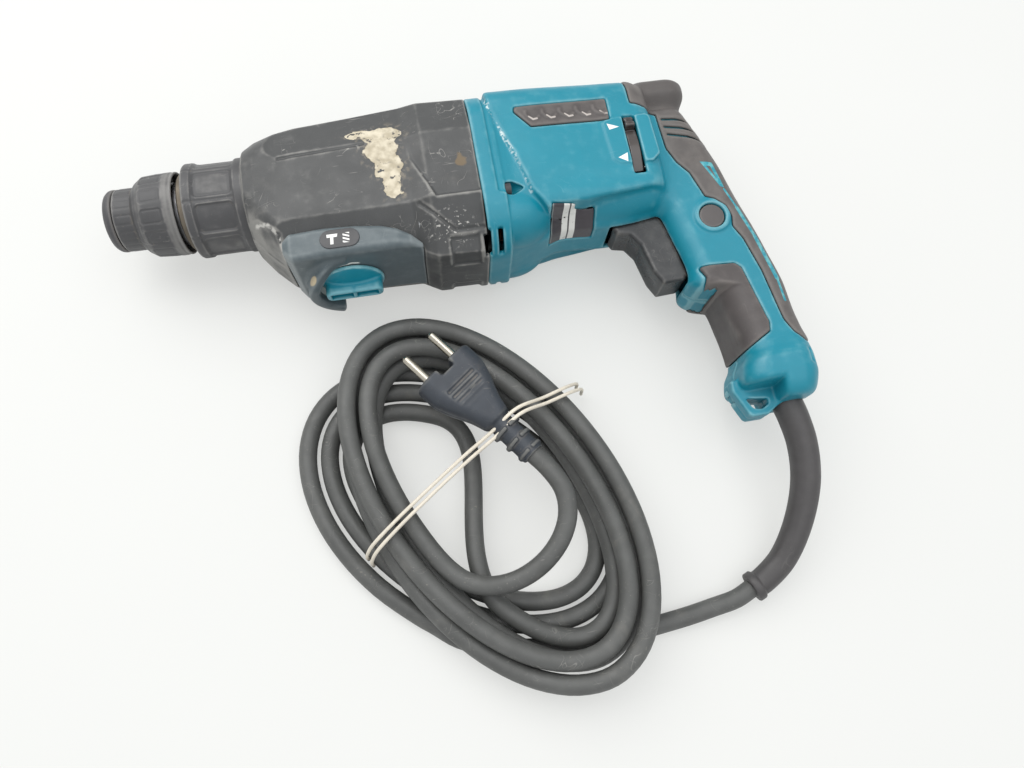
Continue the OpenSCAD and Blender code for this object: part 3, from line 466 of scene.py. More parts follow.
class Paint:
    """One material and the nodes that are added to it."""

    def __init__(self, name: str) -> None:
        """Starts a material.

        Args:
            name: its name.
        """
        self.material = bpy.data.materials.new(name)
        self.material.use_nodes = True
        self.tree = self.material.node_tree
        self.tree.nodes.clear()
        self.shader = self.tree.nodes.new("ShaderNodeBsdfPrincipled")
        out = self.tree.nodes.new("ShaderNodeOutputMaterial")
        self.tree.links.new(self.shader.outputs[0], out.inputs["Surface"])
        place = self.tree.nodes.new("ShaderNodeTexCoord").outputs["Object"]
        self.place = self.vector(Sum.SCALE, place, scale=1000.0)
        split = self.node("ShaderNodeSeparateXYZ", {}, {"Vector": self.place})
        self.x, self.y, self.z = (
            Value(self, split.outputs[k]) - float(SEAT[k]) for k in range(3)
        )

    def node(self, kind: str, settings: dict, sockets: dict) -> bpy.types.Node:
        """Adds a node.

        Args:
            kind: node type.
            settings: properties by name.
            sockets: numbers or outputs by input name or number.
        Returns:
            The node.
        """
        made = self.tree.nodes.new(kind)
        for key, value in settings.items():
            setattr(made, key, value)
        for key, value in sockets.items():
            self.feed(made.inputs[key], value)
        return made

    def feed(self, entry: bpy.types.NodeSocket, value: object) -> None:
        """Sets or links one input.

        Args:
            entry: the input socket.
            value: number, colour, socket or Value.
        """
        if isinstance(value, Value):
            self.tree.links.new(value.socket, entry)
        elif isinstance(value, bpy.types.NodeSocket):
            self.tree.links.new(value, entry)
        elif isinstance(value, tuple) and entry.type == "RGBA":
            entry.default_value = (*value, 1.0)
        else:
            entry.default_value = value

    def math(self, kind: Sum, a: "Value | float", b: "Value | float" = 0.0) -> Value:
        """Adds a sum of two numbers."""
        return Value(self, self.node("ShaderNodeMath", {"operation": kind.value}, {0: a, 1: b}).outputs[0])

    def vector(self, kind: Sum, a: object, b: object = None, scale: float | None = None) -> bpy.types.NodeSocket:
        """Adds a sum of vectors.

        Args:
            kind: operation.
            a: first vector.
            b: second vector, where the operation takes one.
            scale: factor, where the operation takes one.
        Returns:
            The output socket.
        """
        sockets: dict = {0: a}
        if b is not None:
            sockets[1] = b
        if scale is not None:
            sockets["Scale"] = scale
        return self.node("ShaderNodeVectorMath", {"operation": kind.value}, sockets).outputs[0]

    def noise(self, size: float, detail: float = 3.0, stretch: Point = (1, 1, 1), bend: float = 0.0,
              shift: float = 0.0) -> Value:
        """Adds cloudy variation.

        Args:
            size: size of the features in millimetres.
            detail: levels of finer features.
            stretch: scale of the coordinates along each axis.
            bend: distortion.
            shift: offset that gives another pattern.
        Returns:
            A number about 0.5.
        """
        place = self.vector(Sum.MULTIPLY, self.place, stretch)
        place = self.vector(Sum.ADD, place, (shift, 1.7 * shift, -shift))
        node = self.node(
            "ShaderNodeTexNoise", {},
            {"Vector": place, "Scale": 1.0 / size, "Detail": detail, "Distortion": bend},
        )
        return Value(self, node.outputs[0])

    def edge(self) -> Value:
        """Measure of edges stored in the mesh, positive on ridges."""
        node = self.node("ShaderNodeAttribute", {"attribute_name": "edge"}, {})
        return Value(self, node.outputs["Fac"])

    def length(self, a: Value, b: Value) -> Value:
        """Length of a vector in a plane."""
        return self.math(Sum.SQRT, a * a + b * b)

    def segment(self, u: Value, v: Value, a: Spot, b: Spot) -> Value:
        """Distance to a straight piece of line.

        Args:
            u: first coordinate.
            v: second coordinate.
            a: one end.
            b: other end.
        Returns:
            The distance.
        """
        ex, ey = b[0] - a[0], b[1] - a[1]
        du, dv = u - a[0], v - a[1]
        t = ((du * ex + dv * ey) / (ex * ex + ey * ey)).top(0.0).low(1.0)
        return self.length(du - t * ex, dv - t * ey)

    def polyline(self, points: Line) -> Value:
        """Distance to an open line in the plane of x and y."""
        return lowest(self.segment(self.x, self.y, a, b) for a, b in zip(points[:-1], points[1:]))

    def convex(self, u: Value, v: Value, points: Line, soft: float = 0.2) -> Value:
        """Mask of a convex polygon.

        Args:
            u: first coordinate.
            v: second coordinate.
            points: corners of the polygon.
            soft: width of its blurred border.
        Returns:
            1 inside, 0 outside.
        """
        area = sum(a[0] * b[1] - b[0] * a[1] for a, b in zip(points, list(points[1:]) + [points[0]]))
        worst = None
        for a, b in zip(points, list(points[1:]) + [points[0]]):
            ex, ey = b[0] - a[0], b[1] - a[1]
            size = math.copysign(math.hypot(ex, ey), area)
            one = (u - a[0]) * (ey / size) - (v - a[1]) * (ex / size)
            worst = one if worst is None else worst.top(one)
        return worst.ramp(soft / 2, -soft / 2)

    def mix(self, factor: "Value | float", a: object, b: object) -> bpy.types.NodeSocket:
        """Mixes two colours."""
        node = self.node("ShaderNodeMix", {"data_type": "RGBA"}, {0: factor, 6: a, 7: b})
        return node.outputs[2]


def lowest(values: Iterable[Value]) -> Value:
    """Smallest of several numbers of a shader.

    Args:
        values: the numbers.
    Returns:
        The smallest.
    """
    return reduce(Value.low, values)


def srgb(r: float, g: float, b: float) -> Colour:
    """Turns a screen colour of 0 to 255 into a linear one.

    Args:
        r: red.
        g: green.
        b: blue.
    Returns:
        The linear colour.
    """
    return tuple(
        c / 12.92 if c <= 0.04045 else ((c + 0.055) / 1.055) ** 2.4
        for c in (r / 255, g / 255, b / 255)
    )


Marked = tuple[object, Value, Value]


@dataclass(frozen=True)
class Finish:
    """How a surface is coloured and worn."""

    name: str
    colour: Colour
    rough: float = 0.5
    metal: float = 0.0
    mottle: float = 0.15
    worn: Colour = (0.5, 0.5, 0.5)
    wear: float = 0.0
    scratch: float = 0.0
    dirt: Colour = (0.2, 0.16, 0.12)
    dust: float = 0.0
    grain: float = 0.05
    grain_size: float = 0.7
    coat: float = 0.0
    marks: Callable[[Paint, object, Value], Marked] | None = None

    def make(self) -> bpy.types.Material:
        """Builds the material.

        Returns:
            The material.
        """
        p = Paint(self.name)
        cloud = p.noise(38, 4, bend=0.6)
        fine = p.noise(6, 5, shift=9)
        darker = tuple(c * (1 - 1.3 * self.mottle) for c in self.colour)
        lighter = tuple(min(c * (1 + 1.3 * self.mottle) + 0.02 * self.mottle, 1) for c in self.colour)
        tint = p.mix(cloud.ramp(0.3, 0.7) * 0.6 + fine.ramp(0.3, 0.72) * 0.4, darker, lighter)
        edge = p.edge()
        height = p.noise(self.grain_size, 2) * self.grain
        rough = p.noise(14, 4, shift=3).ramp(0.25, 0.75) * 0.16 + (self.rough - 0.08)
        if self.dust > 0:
            hollow = edge.ramp(-0.03, -0.3) + p.noise(24, 6, bend=1.5, shift=31).ramp(0.56, 0.8) * 0.4
            specks = p.noise(1.3, 2, shift=17).ramp(0.66, 0.74) * p.noise(17, 3, shift=5).ramp(0.4, 0.62)
            dusty = (hollow * fine.ramp(0.25, 0.7) + specks * 0.8).low(1.0) * self.dust
            tint = p.mix(dusty, tint, self.dirt)
            rough = rough + dusty * 0.2
        if self.wear > 0:
            rub = (edge + (fine - 0.5) * 0.22).ramp(0.08, 0.3) * self.wear
            tint = p.mix(rub.low(1.0), tint, self.worn)
        if self.scratch > 0:
            lines = abs(p.noise(16, 1.5, (1.0, 0.5, 1.0), bend=0.9, shift=51) - 0.5).ramp(0.0035, 0.0008)
            second = abs(p.noise(11, 2.5, (0.6, 1.2, 1.0), bend=0.4, shift=77) - 0.53).ramp(0.004, 0.001)
            where = p.noise(13, 2, shift=23).ramp(0.5, 0.68)
            streak = p.noise(1.0, 1, (0.09, 1.1, 0.6), shift=61).ramp(0.69, 0.76)
            streak = streak * p.noise(20, 2, shift=29).ramp(0.52, 0.66)
            cuts = ((lines + second) * where + streak * 0.7).low(1.0) * self.scratch
            tint = p.mix(cuts, tint, self.worn)
            height = height - cuts * 0.35
        if self.marks:
            tint, rough, extra = self.marks(p, tint, rough)
            height = height + extra
        p.feed(p.shader.inputs["Base Color"], tint)
        p.feed(p.shader.inputs["Roughness"], rough.low(1.0))
        p.feed(p.shader.inputs["Metallic"], self.metal)
        p.feed(p.shader.inputs["Coat Weight"], self.coat)
        p.feed(p.shader.inputs["Coat Roughness"], 0.15)
        bump = p.node("ShaderNodeBump", {}, {"Strength": 0.6, "Distance": 0.0006, "Height": height})
        p.feed(p.shader.inputs["Normal"], bump.outputs[0])
        return p.material


GREY = Finish("grey housing", srgb(67, 68, 68), 0.46, mottle=0.06, worn=srgb(170, 168, 162), wear=0.5, scratch=0.6,
              dirt=srgb(116, 110, 100), dust=0.3, grain=0.16)
RUBBER = Finish("soft rubber", srgb(76, 71, 70), 0.5, mottle=0.07, worn=srgb(140, 134, 128), wear=0.3, scratch=0.12,
                dirt=srgb(124, 115, 104), dust=0.3, grain=0.12, grain_size=0.5)
CHUCK = Finish("chuck plastic", srgb(72, 72, 73), 0.46, mottle=0.06, worn=srgb(150, 148, 144), wear=0.5, scratch=0.3,
               dirt=srgb(126, 118, 104), dust=0.4, grain=0.12)
TEAL = Finish("teal housing", srgb(10, 127, 147), 0.36, mottle=0.03, worn=srgb(150, 196, 200), wear=0.42, scratch=0.1,
              dirt=srgb(96, 120, 116), dust=0.08, grain=0.1, grain_size=0.5)
MODE = Finish("mode cover", srgb(82, 93, 97), 0.42, mottle=0.05, worn=srgb(160, 166, 166), wear=0.35, scratch=0.2,
              dirt=srgb(126, 124, 116), dust=0.2, grain=0.1)
BLACK = Finish("black plastic", srgb(48, 48, 50), 0.42, mottle=0.12, worn=srgb(120, 118, 114), wear=0.4, scratch=0.2,
               dirt=srgb(110, 104, 96), dust=0.25, grain=0.08)
CORD = Finish("cord rubber", srgb(84, 85, 83), 0.5, mottle=0.12, worn=srgb(150, 148, 143), scratch=0.45,
              dirt=srgb(136, 132, 124), dust=0.6, grain=0.1, grain_size=0.5)
PLUG = Finish("plug rubber", srgb(52, 57, 64), 0.5, mottle=0.12, worn=srgb(140, 138, 130), wear=0.4, scratch=0.4,
              dirt=srgb(132, 124, 112), dust=0.5, grain=0.14)
STEEL = Finish("bright steel", srgb(158, 158, 160), 0.32, 1.0, mottle=0.08, worn=srgb(205, 205, 205), scratch=0.4,
               dirt=srgb(90, 76, 58), dust=0.12, grain=0.03)
CAST = Finish("cast alloy", srgb(142, 144, 146), 0.5, 1.0, mottle=0.1, worn=srgb(190, 190, 190), scratch=0.15,
              dirt=srgb(96, 84, 66), dust=0.15, grain=0.2)
DUSTY = Finish("dusty barrel", srgb(112, 104, 92), 0.6, 0.55, mottle=0.22, worn=srgb(150, 142, 128), scratch=0.5,
               dirt=srgb(96, 80, 58), dust=0.6, grain=0.15)
IRON = Finish("iron sheets", srgb(104, 106, 110), 0.45, 1.0, mottle=0.1, dirt=srgb(70, 60, 50), dust=0.2, grain=0.3,
              grain_size=0.5)
COPPER = Finish("copper wire", srgb(176, 104, 66), 0.35, 1.0, mottle=0.15, dirt=srgb(70, 40, 25), dust=0.2, grain=0.3,
                grain_size=0.8)
CARBON = Finish("carbon", srgb(40, 40, 42), 0.6, 0.2, mottle=0.1, grain=0.1)
BAND = Finish("elastic band", srgb(222, 214, 198), 0.6, mottle=0.08, dirt=srgb(180, 170, 150), dust=0.3, grain=0.2,
              grain_size=0.3)
PIN = Finish("plated pin", srgb(196, 190, 176), 0.28, 1.0, mottle=0.06, worn=srgb(220, 216, 205), scratch=0.3,
             dirt=srgb(110, 96, 70), dust=0.15, grain=0.02)


class Dresser:
    """Keeps one material for each finish and places pieces."""

    def __init__(self) -> None:
        """Starts with no material."""
        self.made: dict[str, bpy.types.Material] = {}

    def material(self, finish: Finish) -> bpy.types.Material:
        """Gives the material of a finish.

        Args:
            finish: the finish.
        Returns:
            Its material, made once.
        """
        if finish.name not in self.made:
            self.made[finish.name] = finish.make()
        return self.made[finish.name]

    def place(self, name: str, data: bpy.types.ID, finish: Finish, body: str, slot: str,
              nodes: Sequence[str] = ()) -> bpy.types.Object:
        """Adds one piece.

        Args:
            name: name of the piece.
            data: its mesh or curve.
            finish: its finish.
            body: the body that it moves with.
            slot: not used.
            nodes: nodes of the frame that it stands for.
        Returns:
            The object.
        """
        made = bpy.data.objects.new(name, data)
        bpy.context.scene.collection.objects.link(made)
        made.data.materials.append(self.material(finish))
        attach(made, body)
        if nodes:
            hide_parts(*nodes)
        count = len(data.polygons) if isinstance(data, bpy.types.Mesh) else 0
        LOG.info("%s: %d faces, moves with %s", name, count, body)
        return made

    def dress(self, node: str, finish: Finish) -> None:
        """Gives a node of the frame a finish.

        Args:
            node: name of the node.
            finish: its finish.
        """
        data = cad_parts[node].data
        data.materials.clear()
        data.materials.append(self.material(finish))
        LOG.info("%s: carried, %s", node, finish.name)


# ---- camera, light and table ----


@dataclass
class Stage:
    """Camera, floor and light, which aren't part of the object."""

    lens: float = 26.454
    place: Point = (-0.01908, -0.17160, 0.42350)
    right: Point = (0.98303639, -0.17538008, 0.05367754)
    up: Point = (0.15333573, 0.94644053, 0.28414516)
    back: Point = (-0.100636, -0.27109435, 0.95727752)
    floor_colour: Colour = (0.735, 0.742, 0.722)
    flat_colour: Colour = (0.93, 0.935, 0.912)
    flat_share: float = 0.5
    half_table: float = 3.0
    table_height: float = -0.0002
    lamps: tuple = (("window", (-0.5, 0.75, 1.15), 1.3, 13.0, (1.0, 0.99, 0.97)),
                    ("ceiling", (0.35, -0.1, 1.5), 1.8, 10.5, (0.98, 0.99, 1.0)))
    sky: float = 0.72

    def camera(self) -> None:
        """Adds the camera and makes it the scene's."""
        data = bpy.data.cameras.new("camera")
        data.lens = self.lens
        data.sensor_width = 36
        data.clip_start = 0.01
        made = bpy.data.objects.new("camera", data)
        rows = [[self.right[k], self.up[k], self.back[k], self.place[k]] for k in range(3)] + [[0, 0, 0, 1]]
        made.matrix_world = Matrix(rows)
        bpy.context.scene.collection.objects.link(made)
        bpy.context.scene.camera = made

    def floor(self) -> None:
        """Adds the pale table that the tool lies on."""
        far = self.half_table
        corners = [(x, y, self.table_height) for x, y in ((-far, -far), (far, -far), (far, far), (-far, far))]
        mesh = make_mesh("table", np.array(corners), np.array([[0, 1, 2, 3]]))
        p = Paint("table top")
        shade = p.noise(160, 2).ramp(0.3, 0.7) * 0.5
        dark = tuple(c * 0.975 for c in self.floor_colour)
        p.feed(p.shader.inputs["Base Color"], p.mix(shade, self.floor_colour, dark))
        p.feed(p.shader.inputs["Roughness"], 0.6)
        p.feed(p.shader.inputs["Specular IOR Level"], 0.2)
        seen = Value(p, p.node("ShaderNodeLightPath", {}, {}).outputs["Is Camera Ray"])
        flat = p.node("ShaderNodeEmission", {}, {"Color": self.flat_colour})
        mixed = p.node("ShaderNodeMixShader", {}, {0: seen * self.flat_share, 1: p.shader.outputs[0],
                                                   2: flat.outputs[0]})
        p.feed(p.tree.nodes["Material Output"].inputs["Surface"], mixed.outputs[0])
        made = bpy.data.objects.new("table", mesh)
        mesh.materials.append(p.material)
        bpy.context.scene.collection.objects.link(made)

    def light(self, name: str, place: Point, size: float, power: float, colour: Colour) -> None:
        """Adds one soft lamp that points at the tool.

        Args:
            name: its name.
            place: where it hangs, in metres.
            size: width of the square.
            power: watts.
            colour: light colour.
        """
        data = bpy.data.lights.new(name, "AREA")
        data.size = size
        data.energy = power
        data.color = colour
        made = bpy.data.objects.new(name, data)
        back = np.array(place) / np.linalg.norm(place)
        right = np.cross((0, 1, 0.001), back)
        right /= np.linalg.norm(right)
        up = np.cross(back, right)
        rows = [[right[k], up[k], back[k], place[k]] for k in range(3)] + [[0, 0, 0, 1]]
        made.matrix_world = Matrix([[float(v) for v in r] for r in rows])
        bpy.context.scene.collection.objects.link(made)

    def build(self) -> None:
        """Adds everything on the stage."""
        self.camera()
        self.floor()
        for lamp in self.lamps:
            self.light(*lamp)
        world = bpy.data.worlds.new("room")
        bpy.context.scene.world = world
        world.use_nodes = True
        shade = world.node_tree.nodes["Background"]
        shade.inputs[0].default_value = (0.97, 0.98, 1.0, 1)
        shade.inputs[1].default_value = self.sky
        bpy.context.scene.view_settings.view_transform = "Standard"


# ---- cord ----


@dataclass
class CordSet:
    """Guard, free cord with its hank, elastic and plug."""

    dresser: Dresser
    diameter: float = 10.0
    floor_z: float = -38.5
    pitch: float = 12.2
    steps: int = 24
    low_turns: float = 2.42
    top_turns: float = 3.93
    bridge: float = 128.0
    plug_spot: Point = (5, -167, 3.4)
    plug_line: Point = (-0.6, 0.8, 0)
    guard: tuple = ((146, -152, 0), (146, -160, 0), (148, -170, -1), (150, -184, -4), (149, -203, -10),
                    (142, -224, -18), (131, -241, -25), (119, -250, -28.6), (116, -251.3, -29),
                    (115.9, -251.35, -29), (112, -253, -29.6))
    guard_radii: tuple = (8.3, 8.3, 8.2, 8, 7.8, 7.5, 7.2, 7, 6.9)
    along_table: tuple = ((60, -262.5), (40, -264), (20, -264.5), (0, -263.5), (-18, -261), (-34, -256.5))
    tie: tuple = ((42, -128, -34), (39, -130, -16), (30, -134, -5), (18, -138, -2), (0, -145, 10), (-14, -154, 6),
                  (-30, -163, 0), (-50, -176, -3), (-70, -190, -4.6), (-82, -199, -8), (-87, -203, -20),
                  (-88, -204, -34))

    @staticmethod
    def loop_at(cx: float, cy: float, mean: float, half: float, turn: float, angle: float) -> Array:
        """Point on one turn of the hank.

        Args:
            cx: centre along x.
            cy: centre along y.
            mean: mean radius.
            half: half the difference of the radii.
            turn: direction of the long axis in degrees.
            angle: angle on the turn in degrees.
        Returns:
            The point in the plane.
        """
        u = (mean + half) * math.cos(math.radians(angle))
        v = (mean - half) * math.sin(math.radians(angle))
        c, s = math.cos(math.radians(turn)), math.sin(math.radians(turn))
        return np.array((cx + u * c - v * s, cy + u * s + v * c))

    def low_at(self, t: float) -> Array:
        """Point of the lower layer."""
        return self.loop_at(-31.4, -178.9, 83 - self.pitch * t, 16.9, -42, -83 - 360 * t)

    def top_at(self, t: float) -> Array:
        """Point of the two upper layers.

        Args:
            t: turns from the start.
        Returns:
            The point in the plane.
        """
        w = float(ease(np.array((t - 1.61) / 0.72)))
        mean = 61.9 + self.pitch * min(t, 2.13) - self.pitch * max(0.0, t - 2.13)
        return self.loop_at(-15.9 - 3.9 * w, -182.2 + 2.8 * w, mean, 22.5 + 1.1 * w, -62.8 + 0.4 * w, -54 + 360 * t)

    @staticmethod
    def blend(p: Array, q: Array, dp: Array, dq: Array, t: float) -> Array:
        """Point on a smooth curve between two points."""
        return (p * (2 * t**3 - 3 * t**2 + 1) + dp * (t**3 - 2 * t**2 + t)
                + q * (3 * t**2 - 2 * t**3) + dq * (t**3 - t**2))

    @staticmethod
    def heading(f: Callable[[float], Array], t: float) -> Array:
        """Direction of a curve."""
        d = f(t + 0.001) - f(t - 0.001)
        return d / np.linalg.norm(d)

    def route(self) -> Array:
        """Route of the free cord from the guard to the plug.

        Returns:
            Points in construction millimetres.
        """
        d = self.diameter
        low_z = self.floor_z + d / 2 + 0.1
        layer = d + 0.6
        start = np.array(self.guard[-1], float)
        lead = start - np.array(self.guard[-3], float)
        lead /= np.linalg.norm(lead)
        hank_in = np.append(self.low_at(0), low_z)
        line_in = np.append(self.heading(self.low_at, 0), 0)
        points = [start, start + d * lead]
        points += [np.array(p) for p in ((90, -259, -32.4), (76, -261, -33.2))]
        points += [np.array((x, y, low_z)) for x, y in self.along_table]
        points += [hank_in - 2.4 * d * line_in, hank_in - d * line_in]
        count = round(self.low_turns * self.steps)
        points += [np.append(self.low_at(self.low_turns * i / count), low_z) for i in range(count + 1)]
        low_end, top_start = self.low_at(self.low_turns), self.top_at(0)
        out, back = self.heading(self.low_at, self.low_turns), self.heading(self.top_at, 0)
        for i in range(1, 16):
            z = low_z + layer * float(ease(np.array((i / 16 - 0.1) / 0.8)))
            flat = self.blend(low_end, top_start, self.bridge * out, self.bridge * back, i / 16)
            points.append(np.append(flat, z))
        count = round(self.top_turns * self.steps)
        for i in range(count + 1):
            t = self.top_turns * i / count
            points.append(np.append(self.top_at(t), low_z + layer + layer * float(ease(np.array((t - 1.86) / 0.35)))))
        end = points[-1].copy()
        goal = np.array(self.plug_spot) - d * np.array(self.plug_line)
        last = self.heading(self.top_at, self.top_turns)
        for i in range(1, 10):
            flat = self.blend(end[:2], goal[:2], 133 * last, 133 * np.array(self.plug_line[:2]), i / 9)
            points.append(np.append(flat, end[2] + (self.plug_spot[2] - end[2]) * float(ease(np.array(i / 9)))))
        points.append(np.array(self.plug_spot, float))
        return np.array(points)

    @staticmethod
    def smooth(points: Array, per: int) -> Array:
        """Rounds a route through all its points.

        Args:
            points: the route.
            per: pieces for each stretch.
        Returns:
            A finer route.
        """
        ends = np.vstack([2 * points[0] - points[1], points, 2 * points[-1] - points[-2]])
        out = []
        for i in range(len(points) - 1):
            a, b, c, d = ends[i], ends[i + 1], ends[i + 2], ends[i + 3]
            ta = np.linalg.norm(b - a) ** 0.5 + 1e-6
            tb = ta + np.linalg.norm(c - b) ** 0.5 + 1e-6
            tc = tb + np.linalg.norm(d - c) ** 0.5 + 1e-6
            for k in range(per):
                t = ta + (tb - ta) * k / per
                a1 = a * (ta - t) / ta + b * t / ta
                a2 = b * (tb - t) / (tb - ta) + c * (t - ta) / (tb - ta)
                a3 = c * (tc - t) / (tc - tb) + d * (t - tb) / (tc - tb)
                b1 = a1 * (tb - t) / tb + a2 * t / tb
                b2 = a2 * (tc - t) / (tc - ta) + a3 * (t - ta) / (tc - ta)
                out.append(b1 * (tb - t) / (tb - ta) + b2 * (t - ta) / (tb - ta))
        out.append(points[-1])
        return np.array(out)

    def curve(self, name: str, points: Array, radius: float) -> bpy.types.Curve:
        """Makes a round curve of one open line.

        Args:
            name: its name.
            points: the line in millimetres.
            radius: its radius in millimetres.
        Returns:
            The curve.
        """
        data = bpy.data.curves.new(name, "CURVE")
        data.dimensions = "3D"
        line = data.splines.new("POLY")
        line.points.add(len(points) - 1)
        row = to_row(points)
        line.points.foreach_set("co", np.ravel(np.hstack([row, np.ones((len(row), 1))])).astype(np.float32))
        line.use_smooth = True
        data.bevel_depth = radius / 1000
        data.bevel_resolution = 6
        data.use_fill_caps = True
        return data

    def tube(self, name: str, points: Array, radii: Array, sides: int = 40) -> bpy.types.Mesh:
        """Sweeps a round tube of changing radius with closed ends.

        Args:
            name: its name.
            points: the line in millimetres.
            radii: a radius for each point.
            sides: corners round the tube.
        Returns:
            The mesh.
        """
        heads = np.gradient(points, axis=0)
        heads /= np.linalg.norm(heads, axis=1)[:, None]
        side = np.cross(heads[0], (0.1, 0.2, 1.0))
        rings = []
        for p, h, r in zip(points, heads, radii):
            side = side - h * (side @ h)
            side /= np.linalg.norm(side)
            other = np.cross(h, side)
            a = np.linspace(0, 2 * math.pi, sides, endpoint=False)[:, None]
            rings.append(p + r * (np.cos(a) * side + np.sin(a) * other))
        verts = np.vstack(rings + [points[:1], points[-1:]])
        n, faces = len(points), []
        for i in range(n - 1):
            for k in range(sides):
                j = (k + 1) % sides
                faces.append((i * sides + k, i * sides + j, (i + 1) * sides + j, (i + 1) * sides + k))
        mesh = bpy.data.meshes.new(name)
        first, last = len(verts) - 2, len(verts) - 1
        caps = [(first, (k + 1) % sides, k) for k in range(sides)]
        caps += [(last, (n - 1) * sides + k, (n - 1) * sides + (k + 1) % sides) for k in range(sides)]
        mesh.from_pydata([tuple(v) for v in to_row(verts)], [], faces + caps)
        mesh.update()
        mesh.shade_smooth()
        return mesh

    def build(self) -> None:
        """Builds the guard, the cord, the elastic and the plug."""
        body = "housing"
        guard = np.array(self.guard, float)
        count = len(self.guard_radii)
        line = self.smooth(guard[:count], 8)
        r = np.interp(np.linspace(0, count - 1, len(line)), np.arange(count), self.guard_radii)
        tail = guard[-2:]
        way = (tail[1] - tail[0]) / np.linalg.norm(tail[1] - tail[0])
        ends = np.array([tail[0], tail[0] + 0.5 * way, tail[1] - 0.5 * way, tail[1]])
        line = np.vstack([line[:-1], ends])
        r = np.append(r[:-1], (7.7, 8.2, 8.2, 7.7))
        self.dresser.place("cord_guard_rubber", self.tube("cord_guard_rubber", line, r), CORD_GUARD, body,
                           "cord_rubber", ["cord_guard"])
        route = self.route()
        fine = self.smooth(route, 4)
        data = self.curve("supply_cord", fine, self.diameter / 2)
        cord = self.dresser.place("supply_cord", data, CORD, body, "cord_rubber", ["cord_run", "cord_hank"])
        plug = self.plug()
        band_piece = self.band()

    def band(self) -> bpy.types.Object:
        """Builds the two strands of elastic.

        Returns:
            The piece.
        """
        line = self.smooth(np.array(self.tie, float), 8)
        count = len(line)
        meshes = []
        for side in (-1, 1):
            wave = np.sin(np.linspace(0, math.pi, count))[:, None]
            shift = np.array((1.1, -1.9, 0)) * side
            meshes.append(self.tube("strand", line + shift * (1 - 0.25 * wave), np.full(count, 0.95), 12))
        joined = merge("cord_band", meshes)
        return self.dresser.place("cord_band", joined, BAND, "housing", "band", ["cord_tie"])

    def plug(self) -> bpy.types.Object:
        """Builds the plug with its ribbed sleeve.

        Returns:
            The piece.
        """
        vol = Volume((-60, -178, -16), (24, -98, 22), 0.5)
        p0, way = np.array(self.plug_spot), np.array(self.plug_line)
        dx, dy, w = vol.x - p0[0], vol.y - p0[1], vol.z - p0[2]
        s = dx * way[0] + dy * way[1]
        v = -dx * way[1] + dy * way[0]
        half_w, half_h, corner = through(((22, 6.5, 6.5, 6.4), (26, 8, 8, 7), (34, 10, 9, 6.5), (48, 16, 10.4, 8),
                                          (56, 18, 10.6, 8), (66, 18, 10.6, 8)), s)
        head = cut(rounded(v, w, half_w, half_h, np.minimum(corner, half_h - 0.1)), band(s, 25, 66), 2.0)
        core = cut(np.hypot(v, w) - 6.3, band(s, 0, 30), 0.6)
        d = join(head, core, 1.5)
        for i in range(6):
            rib = cut(np.hypot(v, w) - (7.4 + 0.3 * i), band(s, 3 + 4 * i - 1.1, 3 + 4 * i + 1.1), 0.9)
            gap = np.maximum(band(np.abs(v), -1, 1.0), np.abs(s - 3 - 4 * i) - 3)
            d = join(d, np.maximum(rib, -gap + (i % 2) * 9), 0.4)
        ridge = np.abs(w) - 0.35
        d = join(d, np.maximum(d - 0.5, ridge), 0.4)
        grip = np.maximum(np.abs(v) - 9, band(s, 36, 54))
        lines = np.abs(np.mod(s, 3.6) - 1.8) - 0.8
        d = cut(d, -both(grip, lines, 9.6 - np.abs(w)), 0.5)
        d = cut(d, -np.maximum(np.abs(v) - 4.2, 61.5 - s), 1.2)
        for side in (-1, 1):
            d = cut(d, -np.maximum(np.hypot(v - 9.5 * side, w) - 2.5, 60 - s), 0.3)
        return self.dresser.place("plug_shell", vol.mesh("plug_shell", d), PLUG, "housing", "plug_rubber",
                                  ["plug_body"])


CORD_GUARD = Finish("guard rubber", srgb(70, 68, 68), 0.45, mottle=0.1, worn=srgb(120, 118, 114), scratch=0.2,
                    dirt=srgb(104, 98, 92), dust=0.25, grain=0.06)


def merge(name: str, meshes: Sequence[bpy.types.Mesh]) -> bpy.types.Mesh:
    """Joins meshes into one.

    Args:
        name: name of the result.
        meshes: meshes to join.
    Returns:
        The joined mesh.
    """
    verts: list = []
    faces: list = []
    for mesh in meshes:
        base = len(verts)
        verts += [tuple(v.co) for v in mesh.vertices]
        faces += [tuple(base + k for k in poly.vertices) for poly in mesh.polygons]
    out = bpy.data.meshes.new(name)
    out.from_pydata(verts, [], faces)
    out.update()
    out.shade_smooth()
    return out


# ---- shells ----


def carve(d: Array, region: Array, depth: float, soft: float = 0.6) -> Array:
    """Lowers a surface inside a region.

    Args:
        d: the body's field.
        region: distance to the region, negative inside.
        depth: how far the surface is lowered.
        soft: width of the slope at the region's border.
    Returns:
        The changed field.
    """
    return d + depth * ease(0.5 - region / (2 * soft))


def stroke(u: Array, v: Array, points: Line, half: float) -> Array:
    """Distance to a line drawn with a round pen.

    Args:
        u: first coordinate.
        v: second coordinate.
        points: points of the line.
        half: half the pen's width.
    Returns:
        The distance, negative inside.
    """
    return near_line(u, v, points) - half


